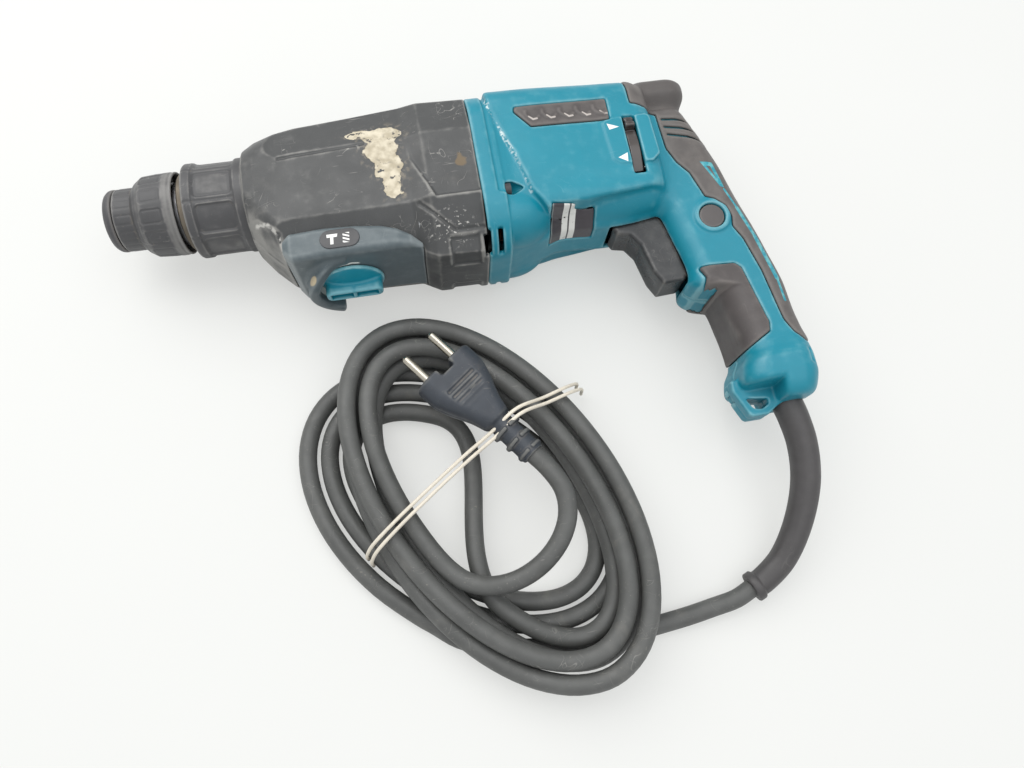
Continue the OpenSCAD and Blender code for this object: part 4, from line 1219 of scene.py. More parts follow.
@dataclass
class GearHousing:
    """Grey housing over the gears, with its mode cover, badge and knob."""

    dresser: Dresser
    wall: float = 2.6
    sections: tuple = ((-124, 27.5, -30, 27.8, 25), (-117, 30, -39, 30, 24), (-106, 31.6, -50, 32, 22),
                       (-95, 33, -54, 33, 22), (-65, 35, -54, 33.6, 22), (-37, 37, -54.5, 34.5, 22),
                       (-27, 37, -59.5, 38.5, 24), (0, 36.5, -60.5, 38.5, 25))
    mode_sections: tuple = ((-106, -41.5, -49, 30, 2.4), (-102, -38.6, -54.6, 32.6, 3), (-84, -38.2, -54.6, 34, 3.4),
                            (-68, -38.8, -54.6, 34, 4), (-55, -40.6, -54.6, 34, 4), (-47, -43.2, -54.6, 34, 4),
                            (-40, -47.4, -54.6, 32.6, 3), (-34.4, -52.2, -55, 29, 1.2))
    mode_back: float = -17.6
    knob_x: float = -74.5
    knob_z: float = 3.0
    badge: Spot = (-76, -46.4)

    def __post_init__(self) -> None:
        """Lays out the sample points."""
        self.vol = Volume((-126.5, -66.5, -40.5), (1.5, 39.5, 40.5), 0.55)

    def mode_volume(self) -> Array:
        """Field of the room that the mode cover fills.

        Returns:
            The field.
        """
        v = self.vol
        top, low, front, corner = through(self.mode_sections, v.x, smooth=False)
        body = rounded(v.y - (top + low) / 2, v.z - (front + self.mode_back) / 2, (top - low) / 2,
                       (front - self.mode_back) / 2, np.minimum(corner, (top - low) / 2 - 0.1))
        return np.maximum(body, band(v.x, -106, -34.4))

    def body(self) -> Array:
        """Field of the outside with its facets and creases.

        Returns:
            The field without ends.
        """
        v = self.vol
        x, y, z = v.x, v.y, np.abs(v.z)
        top, low, half, corner = through(self.sections, x, smooth=False)
        d = rounded(y - (top + low) / 2, z, (top - low) / 2, half, corner)
        fade = ease((x + 118) / 14)
        d = np.maximum(d, 0.309 * y + 0.951 * z - (0.951 * half + 2.16 + 3 * (1 - fade)))
        d = np.maximum(d, -0.5 * y + 0.866 * z - (0.866 * half + 0.5 * 31 + 4 * (1 - ease((x + 122) / 8))))
        d = carve(d, np.maximum(stroke(x, y, ((-103, 5.6), (-80, 6.4), (-58, 7.4)), 0.6), 20 - z), 0.9, 0.5)
        panel = outline(x, y, ((-128, -24), (-117.6, -27), (-106.5, -36), (-105.5, -70), (-128, -70)))
        d = carve(d, np.maximum(panel, 12 - z), 0.9, 0.5)
        scoop = outline(x, y, ((-35, 6), (-34, -6), (-24, -31), (3, -31), (3, 26), (-30, 26)))
        depth = 1.7 * ease(1 - (y + 31) / 44)
        d = d + depth * ease(0.5 - scoop / 1.6) * ease((z - 18) / 5)
        low_part = outline(x, y, ((-34, -33), (-17, -48), (3, -48), (3, -47), (-16, -47), (-33, -32)))
        d = carve(d, np.maximum(low_part, 20 - z), 0.7, 0.5)
        vent = both(band(x, -20, -4.5), band(y, -64, -50.5), 12 - z)
        return carve(d, vent, 1.1, 0.5)

    def build(self) -> None:
        """Builds the housing, the mode cover, the badge and the knob."""
        v = self.vol
        x, y, z = v.x, v.y, v.z
        body = self.body()
        rho = np.hypot(y, z)
        room = self.mode_volume()
        solid = np.maximum(body, band(x, -124, 0))
        inner = np.maximum(body + self.wall, -121.5 - x)
        d = remove(solid, inner)
        d = np.maximum(d, 24.6 - rho - 40 * (x > -121))
        d = remove(d, room - 0.25)
        slot = both(band(x, -2.2, 5), band(y, -70, -51), band(z, 18, 33))
        d = remove(d, slot)
        self.dresser.place("gear_housing", v.mesh("gear_housing", d), GREY, "housing", "grey_shell", ["gear_cover"])

        cx, cz = self.knob_x, self.knob_z
        r = np.hypot(x - cx, z - cz)
        angle = np.degrees(np.arctan2(-(z - cz), x - cx)) % 360
        edge = -62.2 + 9 * ease((angle - 200) / 66)
        lip = both(band(r, 18.4, 24.4), band(y, -64.4, -48), band(angle, 112, 266) * 0.35)
        crown = np.hypot(np.maximum(np.abs(r - 21.4) - 0.9, 0), np.maximum(edge - y, 0)) - 2.1
        lip = np.maximum(lip, np.where(y < edge, crown, -9))
        shell = remove(room, room + 2.4, -(y + 52.2))
        cover = join(shell, lip, 3.2)
        cover = remove(cover, r - 12.5, y + 50)
        self.dresser.place("mode_cover_shell", v.mesh("mode_cover_shell", cover), MODE, "housing", "mode_shell",
                           ["mode_cover"])

        small = Volume((-88, -53, 33.2), (-64, -40, 35.2), 0.25)
        plate = rounded(small.x - self.badge[0], small.y - self.badge[1], 10.2, 5.2, 5.2)
        plate = np.maximum(plate, band(small.z, 33.9, 34.55))
        self.dresser.place("mode_badge_plate", small.mesh("mode_badge_plate", plate), BADGE, "housing", "badge",
                           ["mode_badge"])
        self.knob()

    def knob(self) -> None:
        """Builds the turning knob with its grip bar."""
        v = Volume((-94, -66.5, -16), (-55, -42, 22), 0.45)
        x, y, z = v.x - self.knob_x, v.y, v.z - self.knob_z
        r = np.hypot(x, z)
        dome = np.hypot(r, y + 12) - 47.6
        disc = both(r - 16.8, y + 54.8, dome)
        bar = rounded(x, z, 15.3, 4.6 + 0.5 * ease((y + 60) / 5), 3.6)
        bar = cut(bar, band(y, -64.8, -55), 1.6)
        d = join(disc, bar, 1.0)
        ends = np.maximum(band(np.abs(x), 1.0, 12.6), band(z, -2.8, 2.8))
        d = remove(d, ends, y + 61.6)
        post = np.maximum(r - 7, band(y, -56, -43))
        pin = np.maximum(np.hypot(x, z - 5) - 1.5, band(y, -56, -40.5))
        d = np.minimum(d, np.minimum(post, pin))
        self.dresser.place("mode_knob_cap", v.mesh("mode_knob_cap", d), KNOB, "mode_knob", "knob_plastic",
                           ["mode_knob"])


@dataclass
class MotorShell:
    """Teal motor housing with both handle halves, its rubber parts, label, lever, trigger and button."""

    dresser: Dresser
    wall: float = 2.6
    motor: tuple = ((12.5, 34.6, -57, 36.7, 28), (30, 34.3, -53, 36.7, 28), (45, 34, -48.6, 36.1, 27),
                    (70, 33.6, -50, 34.5, 24), (92, 33, -48, 33.5, 20), (101, 31.5, -44, 29.5, 16))
    handle: tuple = ((14, 88, 124, 24, 10), (8, 88, 126.5, 24, 11), (-22, 90, 137.5, 24, 12),
                     (-42, 97, 142.5, 23, 12), (-62, 101.5, 148.5, 22, 12), (-84, 105.4, 153.6, 22, 12),
                     (-90, 104.5, 155, 22, 12), (-95, 109, 156, 22, 12), (-99, 120, 156.6, 22, 12),
                     (-113, 122.5, 157.4, 22, 12), (-124, 124, 158.6, 22.5, 12), (-134, 124.8, 160, 24, 12),
                     (-142, 121, 160, 26, 12), (-149, 119.5, 160, 26, 12), (-154, 120, 159, 25.5, 12),
                     (-162, 128, 156, 22, 10))
    back: tuple = ((38, 103, 122, 10, 5), (35.5, 96, 126, 20, 9), (30, 91.5, 129.5, 25, 12), (25, 90.5, 129, 25.5, 12),
                   (17, 94, 125.6, 20, 9), (8, 108, 130.5, 17, 8), (-9, 114, 137.4, 16, 8), (-47, 124, 147.2, 15, 8),
                   (-81, 133, 155.8, 14, 8), (-112, 138, 159.6, 12, 6), (-121, 142, 159.7, 9, 4))
    panel: tuple = ((10, 40), (10.5, 20), (16, 2), (20.5, -11), (24, -24), (26, -34), (33.5, -46), (47, -44),
                    (66, -41.5), (92, -39.2), (110, -38), (122, -42), (130, 40))
    frame_edge: tuple = ((72, 1.5), (75, 4), (97, 4.6), (99, 3), (99.6, -21), (95, -25), (77, -24.5), (73.4, -21.5))
    grip: tuple = ((111.5, -85.6), (128.5, -86.6), (131, -89), (137.4, -121), (136.4, -125.6), (123.5, -132.6),
                   (112, -139), (105, -139), (100, -101), (107.5, -99.8), (112, -97), (113.5, -91))
    strip: tuple = ((91, 45), (91, 13.6), (107.4, 10.6), (108.4, -12), (112.4, -21.5), (118, -28.6), (123.4, -43.6),
                    (128, -45.6), (133.8, -51), (135.6, -57.5), (134.6, -63.5), (138.5, -71.6), (143.5, -91.6),
                    (147.6, -121), (151, -128.4), (156, -133), (170, -134), (170, 45))
    trigger_edge: tuple = ((71, -50), (73, -46), (80, -43.5), (92, -40), (99, -44), (103, -56), (107.4, -84),
                           (104, -86.4), (92, -87), (88, -79), (84.4, -62), (80, -55.5), (73, -54))
    room: tuple = ((70, -60), (69.6, -46), (80, -38.5), (104, -36), (112, -46), (119, -86), (105, -88.4), (86, -88.4))
    button: Spot = (124, -56)
    flange_screws: tuple = ((28, 25), (-31, 33.5))
    handle_screws: tuple = ((112, 2), (147, -100), (129, -112), (128, -146.5))
    tail: tuple = ((116, -146), (115.5, -152), (121.5, -166), (123, -167), (132, -167), (141, -161), (141, -146))
    eye: tuple = ((121.5, -157), (124.5, -162.6), (129, -163.6), (133, -161.4), (133, -158.6))
    top_edge: tuple = ((25.6, 14), (33, 4.2), (76, 4.4), (76.2, 16.4), (26, 16))
    crescents: tuple = (34, 43.5, 53, 62.5, 72)
    crescent: tuple = ((-3.0, 13.2), (-3.0, 10.8), (-1.8, 8.8), (0.4, 7.7), (2.8, 8.0), (4.2, 9.2))

    def __post_init__(self) -> None:
        """Lays out the sample points."""
        self.vol = Volume((-1, -169, -40), (162, 40, 40), 0.6)

    def outside(self) -> tuple[Array, Array, Array]:
        """Fields of the housing's outside.

        Returns:
            The whole outside, the handle alone and the motor part alone.
        """
        v = self.vol
        x, y, z = v.x, v.y, np.abs(v.z)
        top, low, half, corner = through(self.motor, x)
        base = rounded(y - (top + low) / 2, z, (top - low) / 2, half, corner)
        region = outline(x, y, self.panel)
        base = base + 1.3 * (1 - ease(0.5 - region / 2.4)) * ease((z - 12) / 6) * ease((x - 11) / 8)
        box = rounded(y - (top + low) / 2, z, (top - low) / 2, half, np.minimum(corner, 13))
        box = cut(np.maximum(box, 0.2 * z - y - 52), region + 0.4, 2.2)
        motor = join(base, np.maximum(box, 8 - z), 1.0)
        motor = cut(motor, band(x, 6, 101), 3.0)
        bulge = (np.sqrt(((x - 15) / 22) ** 2 + ((y + 41) / 15.4) ** 2 + ((z - 18) / 18.2) ** 2) - 1) * 15
        motor = join(motor, bulge, 1.6)
        near, far, wide, bend = through(self.handle, y)
        handle = rounded(x - (near + far) / 2, z, (far - near) / 2, wide, bend)
        handle = cut(handle, band(y, -162, 14), 4.0)
        return join(motor, handle, 6.0), handle, motor

    def rubber(self) -> Array:
        """Field of the bumper with its back strip.

        Returns:
            The field.
        """
        v = self.vol
        near, far, wide, bend = through(self.back, v.y)
        d = rounded(v.x - (near + far) / 2, v.z, (far - near) / 2, wide, bend)
        return cut(d, band(v.y, -121, 38), 3.0)

    def build(self) -> None:
        """Builds every piece of the housing and the handle."""
        v = self.vol
        x, y, z = v.x, v.y, v.z
        side = np.abs(z)
        body, handle, motor = self.outside()
        outer = body
        frame_region = outline(x, y, self.frame_edge)
        raised = cut(np.maximum(frame_region, side - 35.2), 26 - z, 1.0)
        outer = join(outer, raised, 0.8)
        spot = spot_distance(x, y, self.button)
        collar = cut(np.maximum(spot - 10.2, 18 - side), side - 23.4, 1.4)
        outer = join(outer, collar, 1.0)
        plate = cut(outline(x, y, self.tail), side - 7, 1.2)
        outer = cut(outer, -both(y + 152.5, x - 137.5, 7 - side), 4.0)
        outer = join(outer, plate, 2.0)
        flange = rounded(y + 12, z, 48.4, 38.5, 25)
        flange = cut(flange, band(x, 0, 8.6 + 3.9 * ease((-33 - y) / 1.6)), 0.9)
        flange = np.minimum(flange, cut(rounded(y + 12, z, 47.2, 37.2, 24), band(x, 0, 12.5), 0.9))
        outer = join(outer, flange, 1.0)
        outer = remove(outer, x)

        inner = np.maximum(body + self.wall, -147 - y)
        inner = remove(inner, band(y, -107, -85), x - 128)
        for sy, sz in self.flange_screws:
            inner = remove(inner, np.hypot(y - sy, side - sz) - 6.4, x - 28)
        bore = np.maximum(rounded(y + 12, z, 45.6, 35.7, 22.4), x - 9)
        inner = np.minimum(inner, bore)
        d = remove(outer, inner)

        d = self.openings(d)
        rubber = self.rubber()
        strip = outline(x, y, self.strip) - 0.6
        cover_skin = np.maximum(cut(body - 0.4, strip, 1.0), -(body + 1.5))
        rubber = np.maximum(join(rubber, cover_skin, 3.0), 8.2 - spot)
        d = remove(d, rubber - 0.2)
        d = remove(d, strip - 0.2, -(body + 1.4))
        pads = self.pads()
        for region, depth in pads:
            d = remove(d, region - 0.2, -(body + depth))
        seam = np.maximum(np.abs(z) - 0.3, -(outer + 0.5))
        d = np.where(x > 88, np.maximum(d, -seam), d)
        right = both(z, -(x - 88), handle - 3)
        right = remove(right, motor + 0.3)
        shell = remove(d, right - 0.1)
        cover = np.maximum(d, right + 0.05)
        place = self.dresser.place
        place("motor_shell", v.mesh("motor_shell", shell), TEAL, "housing", "teal_shell", ["motor_housing"])
        place("handle_cover_shell", v.mesh("handle_cover_shell", cover), TEAL, "housing", "teal_shell",
              ["handle_cover"])
        self.rubber_parts(rubber, body, pads)
        self.controls()

    def openings(self, d: Array) -> Array:
        """Cuts the slots, the trigger's room and the eye.

        Args:
            d: the shell's field.
        Returns:
            The cut field.
        """
        v = self.vol
        x, y, z = v.x, v.y, v.z
        side = np.abs(z)
        for start, end in ((5.2, 7.8), (-2, 1.4)):
            d = remove(d, band(x, start, end), band(y, -70, -51), band(side, 18, 33))
        radius = np.hypot(y + 13, z)
        angle = np.degrees(np.arctan2(z, y + 13))
        window = both(band(x, 83.5, 90.5), band(angle, 62, 118) * 0.6, 24 - radius)
        d = remove(d, window, -z)
        d = remove(d, spot_distance(x, y, self.button) - 7.4, 10 - z)
        room = np.maximum(outline(x, y, self.room), side - 11.7)
        d = remove(d, room)
        for sy, sz in self.flange_screws:
            pocket = np.maximum(np.hypot(y - sy, side - sz) - 3.9 + 0.55 * np.maximum(x - 16.5, 0), band(x, 12.5, 36))
            d = remove(d, pocket)
        for spot in self.handle_screws:
            d = remove(d, spot_distance(x, y, spot) - 3.4, z + 16)
        d = remove(d, outline(x, y, self.eye), side - 9)
        guard = np.maximum(np.hypot(x - 146, z) - 8.6, y + 148)
        d = remove(d, guard)
        mark = np.maximum(rounded(x - 155.6, y + 142.5, 0.8, 4.2, 0.4), 10 - z)
        return carve(d, mark, 0.8, 0.4)

    def pads(self) -> list[tuple[Array, float]]:
        """Regions of the grip insert, the top insert and the label.

        Returns:
            Region and depth of each, in that order.
        """
        v = self.vol
        x, y, side = v.x, v.y, np.abs(v.z)
        grip = outline(x, y, self.grip) - 1.2
        top = outline(x, y, self.top_edge) - 0.8
        top = np.maximum(top, 18 - side)
        label = both(band(x, 35.4, 60), band(y, -66, -42.6), band(v.z, 2.5, 40))
        return [(grip, 1.6), (top, 1.4), (label, 1.5)]

    def rubber_parts(self, rubber: Array, body: Array, pads: list[tuple[Array, float]]) -> None:
        """Builds the bumper, both inserts and the label.

        Args:
            rubber: field of the bumper.
            body: the outside field.
            pads: regions of the inserts.
        """
        v = self.vol
        x, y, z = v.x, v.y, v.z
        side = np.abs(z)
        place = self.dresser.place
        for a, b in (((109.6, 6.6), (136, 3.4)), ((110, 1.6), (138, -4)), ((110.8, -3.4), (140, -11))):
            rubber = carve(rubber, stroke(x, y, (a, b), 0.6), 1.1, 0.5)
        place("rear_bumper", v.mesh("rear_bumper", rubber), BACK_RUBBER, "housing", "grip_rubber", ["bumper"])
        (grip, _), (top, _), (label, _) = pads
        skin = cut(body - 0.9, grip, 1.2)
        skin = remove(skin, body + 1.6)
        for line in (((113.6, -97), (119.6, -133)), ((116.4, -97), (123.4, -128))):
            skin = carve(skin, np.maximum(stroke(x, y, line, 0.35), 10 - side), 0.7, 0.4)
        place("grip_rubber", v.mesh("grip_rubber", skin), RUBBER, "housing", "grip_rubber", ["grip_insert"])
        skin = np.maximum(cut(body - 0.5, top, 0.8), -(body + 1.4))
        for cx in self.crescents:
            bow = [(cx + across, height) for across, height in self.crescent]
            skin = skin - 0.6 * ease(0.5 - stroke(x, y, bow, 0.4) / 0.9) * (side > 18) * (skin > -1)
        place("top_rubber", v.mesh("top_rubber", skin), TOP_RUBBER, "housing", "grip_rubber", ["top_insert"])
        tag = both(body + 0.1, label, -(body + 1.5))
        place("rating_plate", v.mesh("rating_plate", tag), LABEL, "housing", "label", ["rating_label"])

    def controls(self) -> None:
        """Builds the reversing lever, the trigger and the button."""
        place = self.dresser.place
        v = Volume((82, -44, 9), (91, 20, 40), 0.35)
        radius = np.hypot(v.y + 13, v.z)
        angle = np.degrees(np.arctan2(v.z, v.y + 13)) - 69
        strip = both(band(v.x, 84, 89.9), band(radius, 32.9, 33.9), band(angle, -46, 48) * 0.58)
        knob = cut(np.maximum(band(v.x, 84, 89.4), band(angle, -5.4, 5.4) * 0.63), band(radius, 33, 38.4), 1.2)
        notch = np.abs(angle * 0.63) - 0.5
        knob = knob + 0.5 * ease(0.5 - notch / 0.8) * (radius > 36)
        stem = both(band(v.x, 84, 89), band(angle, -3.6, 3.6) * 0.5, band(radius, 23.2, 36))
        lever = np.minimum(np.minimum(strip, knob), stem)
        place("reversing_lever_cap", v.mesh("reversing_lever_cap", lever), GLOSS, "reverser", "black_plastic",
              ["reversing_lever"])

        v = Volume((68, -89.5, -13), (112, -38, 13), 0.45)
        x, y, side = v.x, v.y, np.abs(v.z)
        d = cut(outline(x, y, self.trigger_edge) + 0.3, side - 10.9, 2.6)
        dish = near_line(x, y, ((73, -54), (80, -55.5), (84.4, -62), (88, -79)))
        d = d + 0.8 * ease(1 - dish / 7) * ease(1 - side / 8)
        hollow = np.maximum(outline(x, y, ((86, -48), (120, -48), (120, -82), (93, -82))), side - 8.7)
        d = remove(d, hollow)
        d = remove(d, np.hypot(x - 93, y + 43) - 1.55)
        place("trigger_cap", v.mesh("trigger_cap", d), TRIGGER, "trigger", "black_plastic", ["trigger"])

        v = Volume((114, -66, 14.5), (134, -46, 24), 0.35)
        spot = spot_distance(v.x, v.y, self.button)
        dome = np.sqrt(spot**2 + (v.z + 30) ** 2) - 52.6
        d = cut(np.maximum(spot - 7.1, 15.8 - v.z), dome, 0.9)
        d = np.minimum(d, np.maximum(spot - 8.1, band(v.z, 15.8, 16.8)))
        place("lock_button_cap", v.mesh("lock_button_cap", d), BUTTON, "lock_button", "grip_rubber", ["lock_button"])


@dataclass
class Chuck:
    """Front cap, pull-back cover and barrel collar."""

    dresser: Dresser

    def build(self) -> None:
        """Builds the three turned pieces."""
        v = Volume((-202.5, -27.5, -27.5), (-122.5, 27.5, 27.5), 0.45)
        x = v.x
        rho = np.hypot(v.y, v.z)
        angle = np.degrees(np.arctan2(v.z, v.y))
        place = self.dresser.place
        cap = outline(x, rho, ((-201, 7.05), (-201, 13), (-200, 15.4), (-198.4, 16.7), (-197, 17), (-195.5, 17),
                               (-195.5, 12), (-199, 12), (-199, 7.05)))
        place("front_cap_rubber", v.mesh("front_cap_rubber", cap), RUBBER_DARK, "spindle", "grip_rubber",
              ["front_cap"])
        cover = outline(x, rho, ((-195.2, 12.06), (-195.2, 16.6), (-194.7, 17), (-185.2, 17), (-183.2, 19.4),
                                 (-179.2, 22.1), (-171.2, 22.7), (-161.8, 22.6), (-161.8, 21.15), (-166.8, 21.15),
                                 (-166.8, 19.5), (-181, 19.5), (-181, 12.06)))
        turn = (angle + 15) % 30 - 15
        arc_length = np.radians(turn) * rho
        pad = rounded(x + 173.6, arc_length, 5.0, 3.4, 0.6)
        cover = carve(cover, np.maximum(np.abs(pad) - 0.3, 21.2 - rho), 0.7, 0.4)
        cover = carve(cover, np.maximum(pad + 0.6, 21.2 - rho), 0.25, 0.4)
        front = rounded(x + 189.6, arc_length, 4.2, 2.4, 0.4)
        cover = carve(cover, np.maximum(np.abs(front) - 0.3, 15.8 - rho), 0.35, 0.4)
        rim = np.abs(x + 163.6) - 0.4
        cover = carve(cover, np.maximum(rim, 21.9 - rho), 0.4, 0.4)
        place("chuck_sleeve", v.mesh("chuck_sleeve", cover), CHUCK, "chuck", "chuck_plastic", ["chuck_cover"])
        collar = outline(x, rho, ((-156.5, 21.35), (-156.5, 25.2), (-155.9, 25.9), (-151.5, 25.9), (-151, 25.2),
                                  (-129.4, 25.2), (-129, 25.8), (-124, 25.8), (-124, 21.35)))
        turn = (angle + 4 + 22.5) % 45 - 22.5
        arc_length = np.radians(turn) * rho
        panel = rounded(x + 140.2, arc_length, 10, 7.6, 2.2)
        collar = carve(collar, np.maximum(panel, 22 - rho), 0.9, 0.5)
        rib = np.abs(np.abs(arc_length) - 9.8) - 0.3
        collar = carve(collar, both(rib, band(x, -156, -130), 22 - rho), 0.4, 0.4)
        place("barrel_collar_sleeve", v.mesh("barrel_collar_sleeve", collar), CHUCK, "housing", "chuck_plastic",
              ["barrel_collar"])


def grey_marks(p: Paint, tint: object, rough: Value) -> Marked:
    """Adds the dried plaster and the stain to the grey housing.

    Args:
        p: the shader.
        tint: colour so far.
        rough: roughness so far.
    Returns:
        Colour, roughness and added height.
    """
    x = p.x + (p.noise(5, 4, shift=3) - 0.5) * 7
    y = p.y + (p.noise(6, 4, shift=13) - 0.5) * 7
    blots = ((-48, 11.5, 10.5, 6.5), (-49, 2, 8.5, 9), (-46, -9, 7.5, 9), (-45.5, -19.5, 5.2, 8), (-59, 15, 7, 2.6))
    near = lowest(p.length((x - cx) / rx, (y - cy) / ry) for cx, cy, rx, ry in blots)
    patch = near.ramp(1.03, 0.97) * p.z.ramp(4, 8)
    holes = p.noise(2.4, 3, shift=41).ramp(0.6, 0.64) * p.noise(13, 1, shift=19).ramp(0.5, 0.62)
    patch = patch * (1 - holes)
    colour = p.mix(p.noise(5, 4, shift=7).ramp(0.35, 0.7), srgb(178, 168, 146), srgb(214, 205, 184))
    stain = p.length((x + 8) / 3.4, (y + 12) / 4).ramp(1.1, 0.7) * p.z.ramp(4, 8) * 0.7
    film = near.ramp(1.9, 1.0) * p.noise(3, 4, shift=57).ramp(0.5, 0.72) * p.z.ramp(4, 8) * 0.5
    lip = p.polyline(((-119, -27.4), (-112, -30.5), (-107.4, -36.5), (-106.6, -46)))
    lip = lip.ramp(1.3, 0.2) * p.noise(2.5, 4, shift=63).ramp(0.42, 0.56) * p.z.ramp(8, 12)
    chips = p.noise(1.7, 4, shift=71).ramp(0.6, 0.66) * p.length((x + 18) / 15, (y + 46) / 10).ramp(1.1, 0.5)
    tint = p.mix(lip.top(chips * p.z.ramp(8, 12)) * 0.8, tint, srgb(196, 194, 188))
    tint = p.mix(film, tint, srgb(150, 140, 122))
    tint = p.mix(stain, tint, srgb(118, 98, 66))
    tint = p.mix(patch, tint, colour)
    return tint, rough + patch * 0.4, patch * (1.2 + p.noise(1.6, 3, shift=47) * 0.8)


def mode_marks(p: Paint, tint: object, rough: Value) -> Marked:
    """Adds the white arc and the small beige mark to the mode cover.

    Args:
        p: the shader.
        tint: colour so far.
        rough: roughness so far.
    Returns:
        Colour, roughness and added height.
    """
    r = p.length(p.x + 74.5, p.z - 3)
    arc = abs(r - 18.3).ramp(0.9, 0.6) * p.y.ramp(-53.5, -54.2) * p.y.ramp(-59.4, -58.6) * p.x.ramp(-68, -70)
    arc = arc * p.z.ramp(-8, -5)
    spot = p.length((p.x + 94) / 2.2, (p.y + 60) / 2.4).ramp(1.1, 0.8) * p.z.ramp(2, 4)
    tint = p.mix(arc, tint, srgb(226, 226, 220))
    return p.mix(spot * 0.85, tint, srgb(188, 172, 140)), rough, arc * 0.1


def badge_marks(p: Paint, tint: object, rough: Value) -> Marked:
    """Adds the hammer and drill signs to the badge.

    Args:
        p: the shader.
        tint: colour so far.
        rough: roughness so far.
    Returns:
        Colour, roughness and added height.
    """
    u, v = p.x + 76, p.y + 46.4
    head = p.convex(u, v, ((-6.4, 0.9), (-1.2, 0.9), (-0.8, 2.7), (-6.4, 2.7)))
    stick = p.convex(u, v, ((-4.9, -3.0), (-3.3, -3.0), (-3.0, 1.2), (-4.6, 1.2)))
    bit = p.convex(u, v, ((1.4, -2.9), (4.8, -2.9), (5.2, 2.8), (1.8, 2.8)))
    twist = p.math(Sum.SINE, (u * 0.6 + v * 1.5) * 2.1).ramp(-0.25, 0.1)
    sign = (head.top(stick)).top(bit * twist)
    return p.mix(sign, tint, srgb(232, 232, 228)), rough, sign * 0.2


def knob_marks(p: Paint, tint: object, rough: Value) -> Marked:
    """Rubs the rim of the knob pale.

    Args:
        p: the shader.
        tint: colour so far.
        rough: roughness so far.
    Returns:
        Colour, roughness and added height.
    """
    rim = abs(p.length(p.x + 74.5, p.z - 3) - 16.4).ramp(0.6, 0.2) * p.noise(4, 3).ramp(0.45, 0.6) * 0.5
    return p.mix(rim, tint, srgb(150, 196, 200)), rough, rim * 0.1


def teal_marks(p: Paint, tint: object, rough: Value) -> Marked:
    """Adds the two white arrow heads, the rubbed crest and a painted highlight on the upper face to the teal housing.

    Args:
        p: the shader.
        tint: colour so far.
        rough: roughness so far.
    Returns:
        Colour, roughness and added height.
    """
    out = p.z.ramp(28, 29)
    one = p.convex(p.x, p.y, ((74.2, 0.6), (80.6, -2.2), (75.0, -3.4)))
    two = p.convex(p.x, p.y, ((76.2, -21.0), (81.8, -18.6), (81.0, -24.0)))
    crest = p.polyline(((11, 24), (12.5, 12), (16, 2), (20.5, -11), (24, -24), (26, -34)))
    rub = crest.ramp(1.6, 0.3) * p.noise(2.2, 5, shift=15).ramp(0.46, 0.6) * p.noise(15, 2, shift=25).ramp(0.35, 0.55)
    rub = rub * p.z.ramp(6, 12) * 0.9
    # painted highlight: the upward-facing side is tinted a brighter teal where light falls on the top
    painted_top_highlight = p.convex(p.x, p.y, ((16, 24), (100, 12), (100, -30), (40, -42), (20, -10)), 14.0) * p.z.ramp(24, 33)
    tint = p.mix(painted_top_highlight * 0.12, tint, srgb(52, 158, 176))
    tint = p.mix(rub, tint, srgb(214, 226, 224))
    tint = p.mix(one.top(two) * out, tint, srgb(236, 238, 236))
    return tint, rough + rub * 0.2, rub * -0.2


def back_marks(p: Paint, tint: object, rough: Value) -> Marked:
    """Adds the teal inlays to the back strip.

    Args:
        p: the shader.
        tint: colour so far.
        rough: roughness so far.
    Returns:
        Colour, roughness and added height.
    """
    line = ((134.6, -41.5), (139.4, -53), (145.2, -71), (150.4, -97), (151.2, -110))
    widths = (0.4, 1.1, 1.5, 1.6, 0.2)
    mask = p.convex(p.x, p.y, ((124.4, -23.4), (131.6, -24.4), (135.0, -40.2), (132.6, -39.6), (127.4, -29.6)), 0.3)
    hollow = p.convex(p.x, p.y, ((127.4, -26.4), (129.8, -26.8), (131.8, -35.0)), 0.2)
    mask = mask * (1 - hollow)
    for k in range(4):
        wide = (widths[k] + widths[k + 1]) / 2
        mask = mask.top(p.segment(p.x, p.y, line[k], line[k + 1]).ramp(wide + 0.15, wide - 0.15))
    colour = p.mix(p.noise(3, 4, shift=33).ramp(0.4, 0.62) * 0.6, srgb(26, 140, 158), srgb(122, 190, 190))
    return p.mix(mask, tint, colour), rough, mask * 0.3


def top_marks(p: Paint, tint: object, rough: Value) -> Marked:
    """Rubs the crescents of the top insert pale.

    Args:
        p: the shader.
        tint: colour so far.
        rough: roughness so far.
    Returns:
        Colour, roughness and added height.
    """
    mask = lowest(p.polyline(((cx - 1.6, 9.2), (cx + 0.4, 7.2), (cx + 2.6, 7.6))) for cx in (34, 44, 54, 64, 74))
    rub = mask.ramp(0.7, 0.2) * p.noise(6, 3, shift=37).ramp(0.3, 0.5)
    return p.mix(rub * 0.75, tint, srgb(206, 198, 190)), rough, rub * 0.1


def label_marks(p: Paint, tint: object, rough: Value) -> Marked:
    """Adds the two white stripes and the frame line to the label.

    Args:
        p: the shader.
        tint: colour so far.
        rough: roughness so far.
    Returns:
        Colour, roughness and added height.
    """
    u = p.x + 0.8 + (p.y + 50) * -0.06
    stripes = abs(u - 44.2).ramp(1.75, 1.6).top(abs(u - 48.4).ramp(1.75, 1.6))
    border = (abs(p.x - 48.5) - 12.0).top(-9.0).ramp(0.1, 0.3)
    stripes = stripes * (1 - p.noise(2, 3, shift=11).ramp(0.66, 0.72) * 0.6)
    tint = p.mix(border * 0.5, tint, srgb(170, 180, 178))
    return p.mix(stripes, tint, srgb(226, 226, 220)), rough, stripes * 0.05


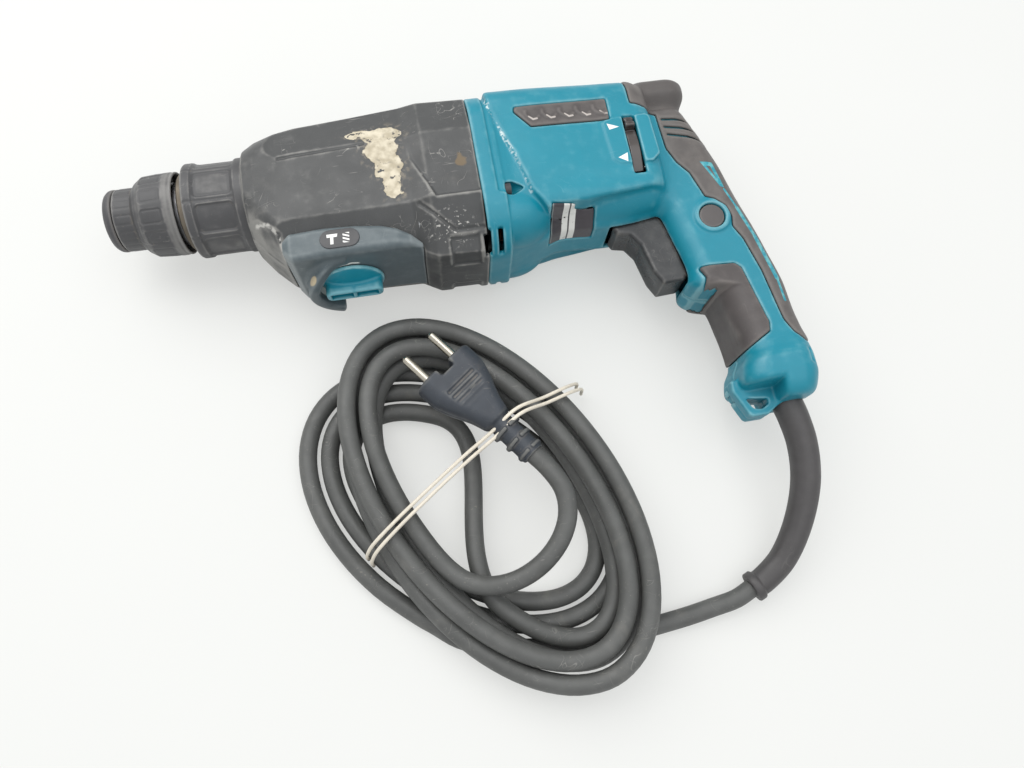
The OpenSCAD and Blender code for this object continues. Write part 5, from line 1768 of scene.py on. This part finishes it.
GREY = replace(GREY, marks=grey_marks)
MODE = replace(MODE, marks=mode_marks)
KNOB = replace(TEAL, name="knob plastic", dust=0.1, scratch=0.2, marks=knob_marks)
BADGE = replace(BLACK, name="badge plate", colour=srgb(64, 64, 66), wear=0.0, marks=badge_marks)
TEAL = replace(TEAL, marks=teal_marks)
BACK_RUBBER = replace(RUBBER, name="back rubber", colour=srgb(84, 80, 78), marks=back_marks)
TOP_RUBBER = replace(RUBBER, name="top rubber", marks=top_marks)
RUBBER_DARK = replace(RUBBER, name="dark rubber", colour=srgb(70, 70, 72))
LABEL = replace(BLACK, name="label print", colour=srgb(66, 62, 66), rough=0.35, wear=0.0, dust=0.15, marks=label_marks)
TRIGGER = replace(BLACK, name="trigger plastic", colour=srgb(54, 55, 56), rough=0.3, scratch=0.5, wear=0.6)
BUTTON = replace(RUBBER, name="button plastic", colour=srgb(84, 80, 79), dust=0.15)
GLOSS = replace(BLACK, name="glossy lever", colour=srgb(46, 36, 34), rough=0.22, wear=0.2, dust=0.2, coat=0.4)


INNER = {
    STEEL: ("tool_holder", "impact_bolt", "striker", "cylinder", "spindle_gear", "layshaft", "drive_pinion",
            "first_gear", "swash_hub", "swash_balls", "swash_arm", "armature_shaft", "locking_balls",
            "front_bearing", "layshaft_bearings", "armature_bearings", "clutch_spring", "shift_plate", "chuck_spring"),
    CAST: ("inner_housing", "piston"),
    DUSTY: ("barrel", "chuck_ring"),
    IRON: ("armature_core", "field_core"),
    COPPER: ("field_coils", "commutator"),
    CARBON: ("brushes", "striker_seal", "oil_seal", "leads"),
    BLACK: ("fan", "baffle", "brush_ring", "switch_body", "cord_clamp", "flange_screws", "handle_screws"),
    PIN: ("plug_pins",),
}


def main() -> None:
    """Builds the scene in order."""
    logging.basicConfig(level=logging.INFO, format="%(message)s")
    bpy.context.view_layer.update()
    dresser = Dresser()
    Stage().build()
    CordSet(dresser).build()
    for part in (Chuck(dresser), GearHousing(dresser), MotorShell(dresser)):
        part.build()
    for finish, nodes in INNER.items():
        for node in nodes:
            dresser.dress(node, finish)


if __name__ == "__main__":
    main()
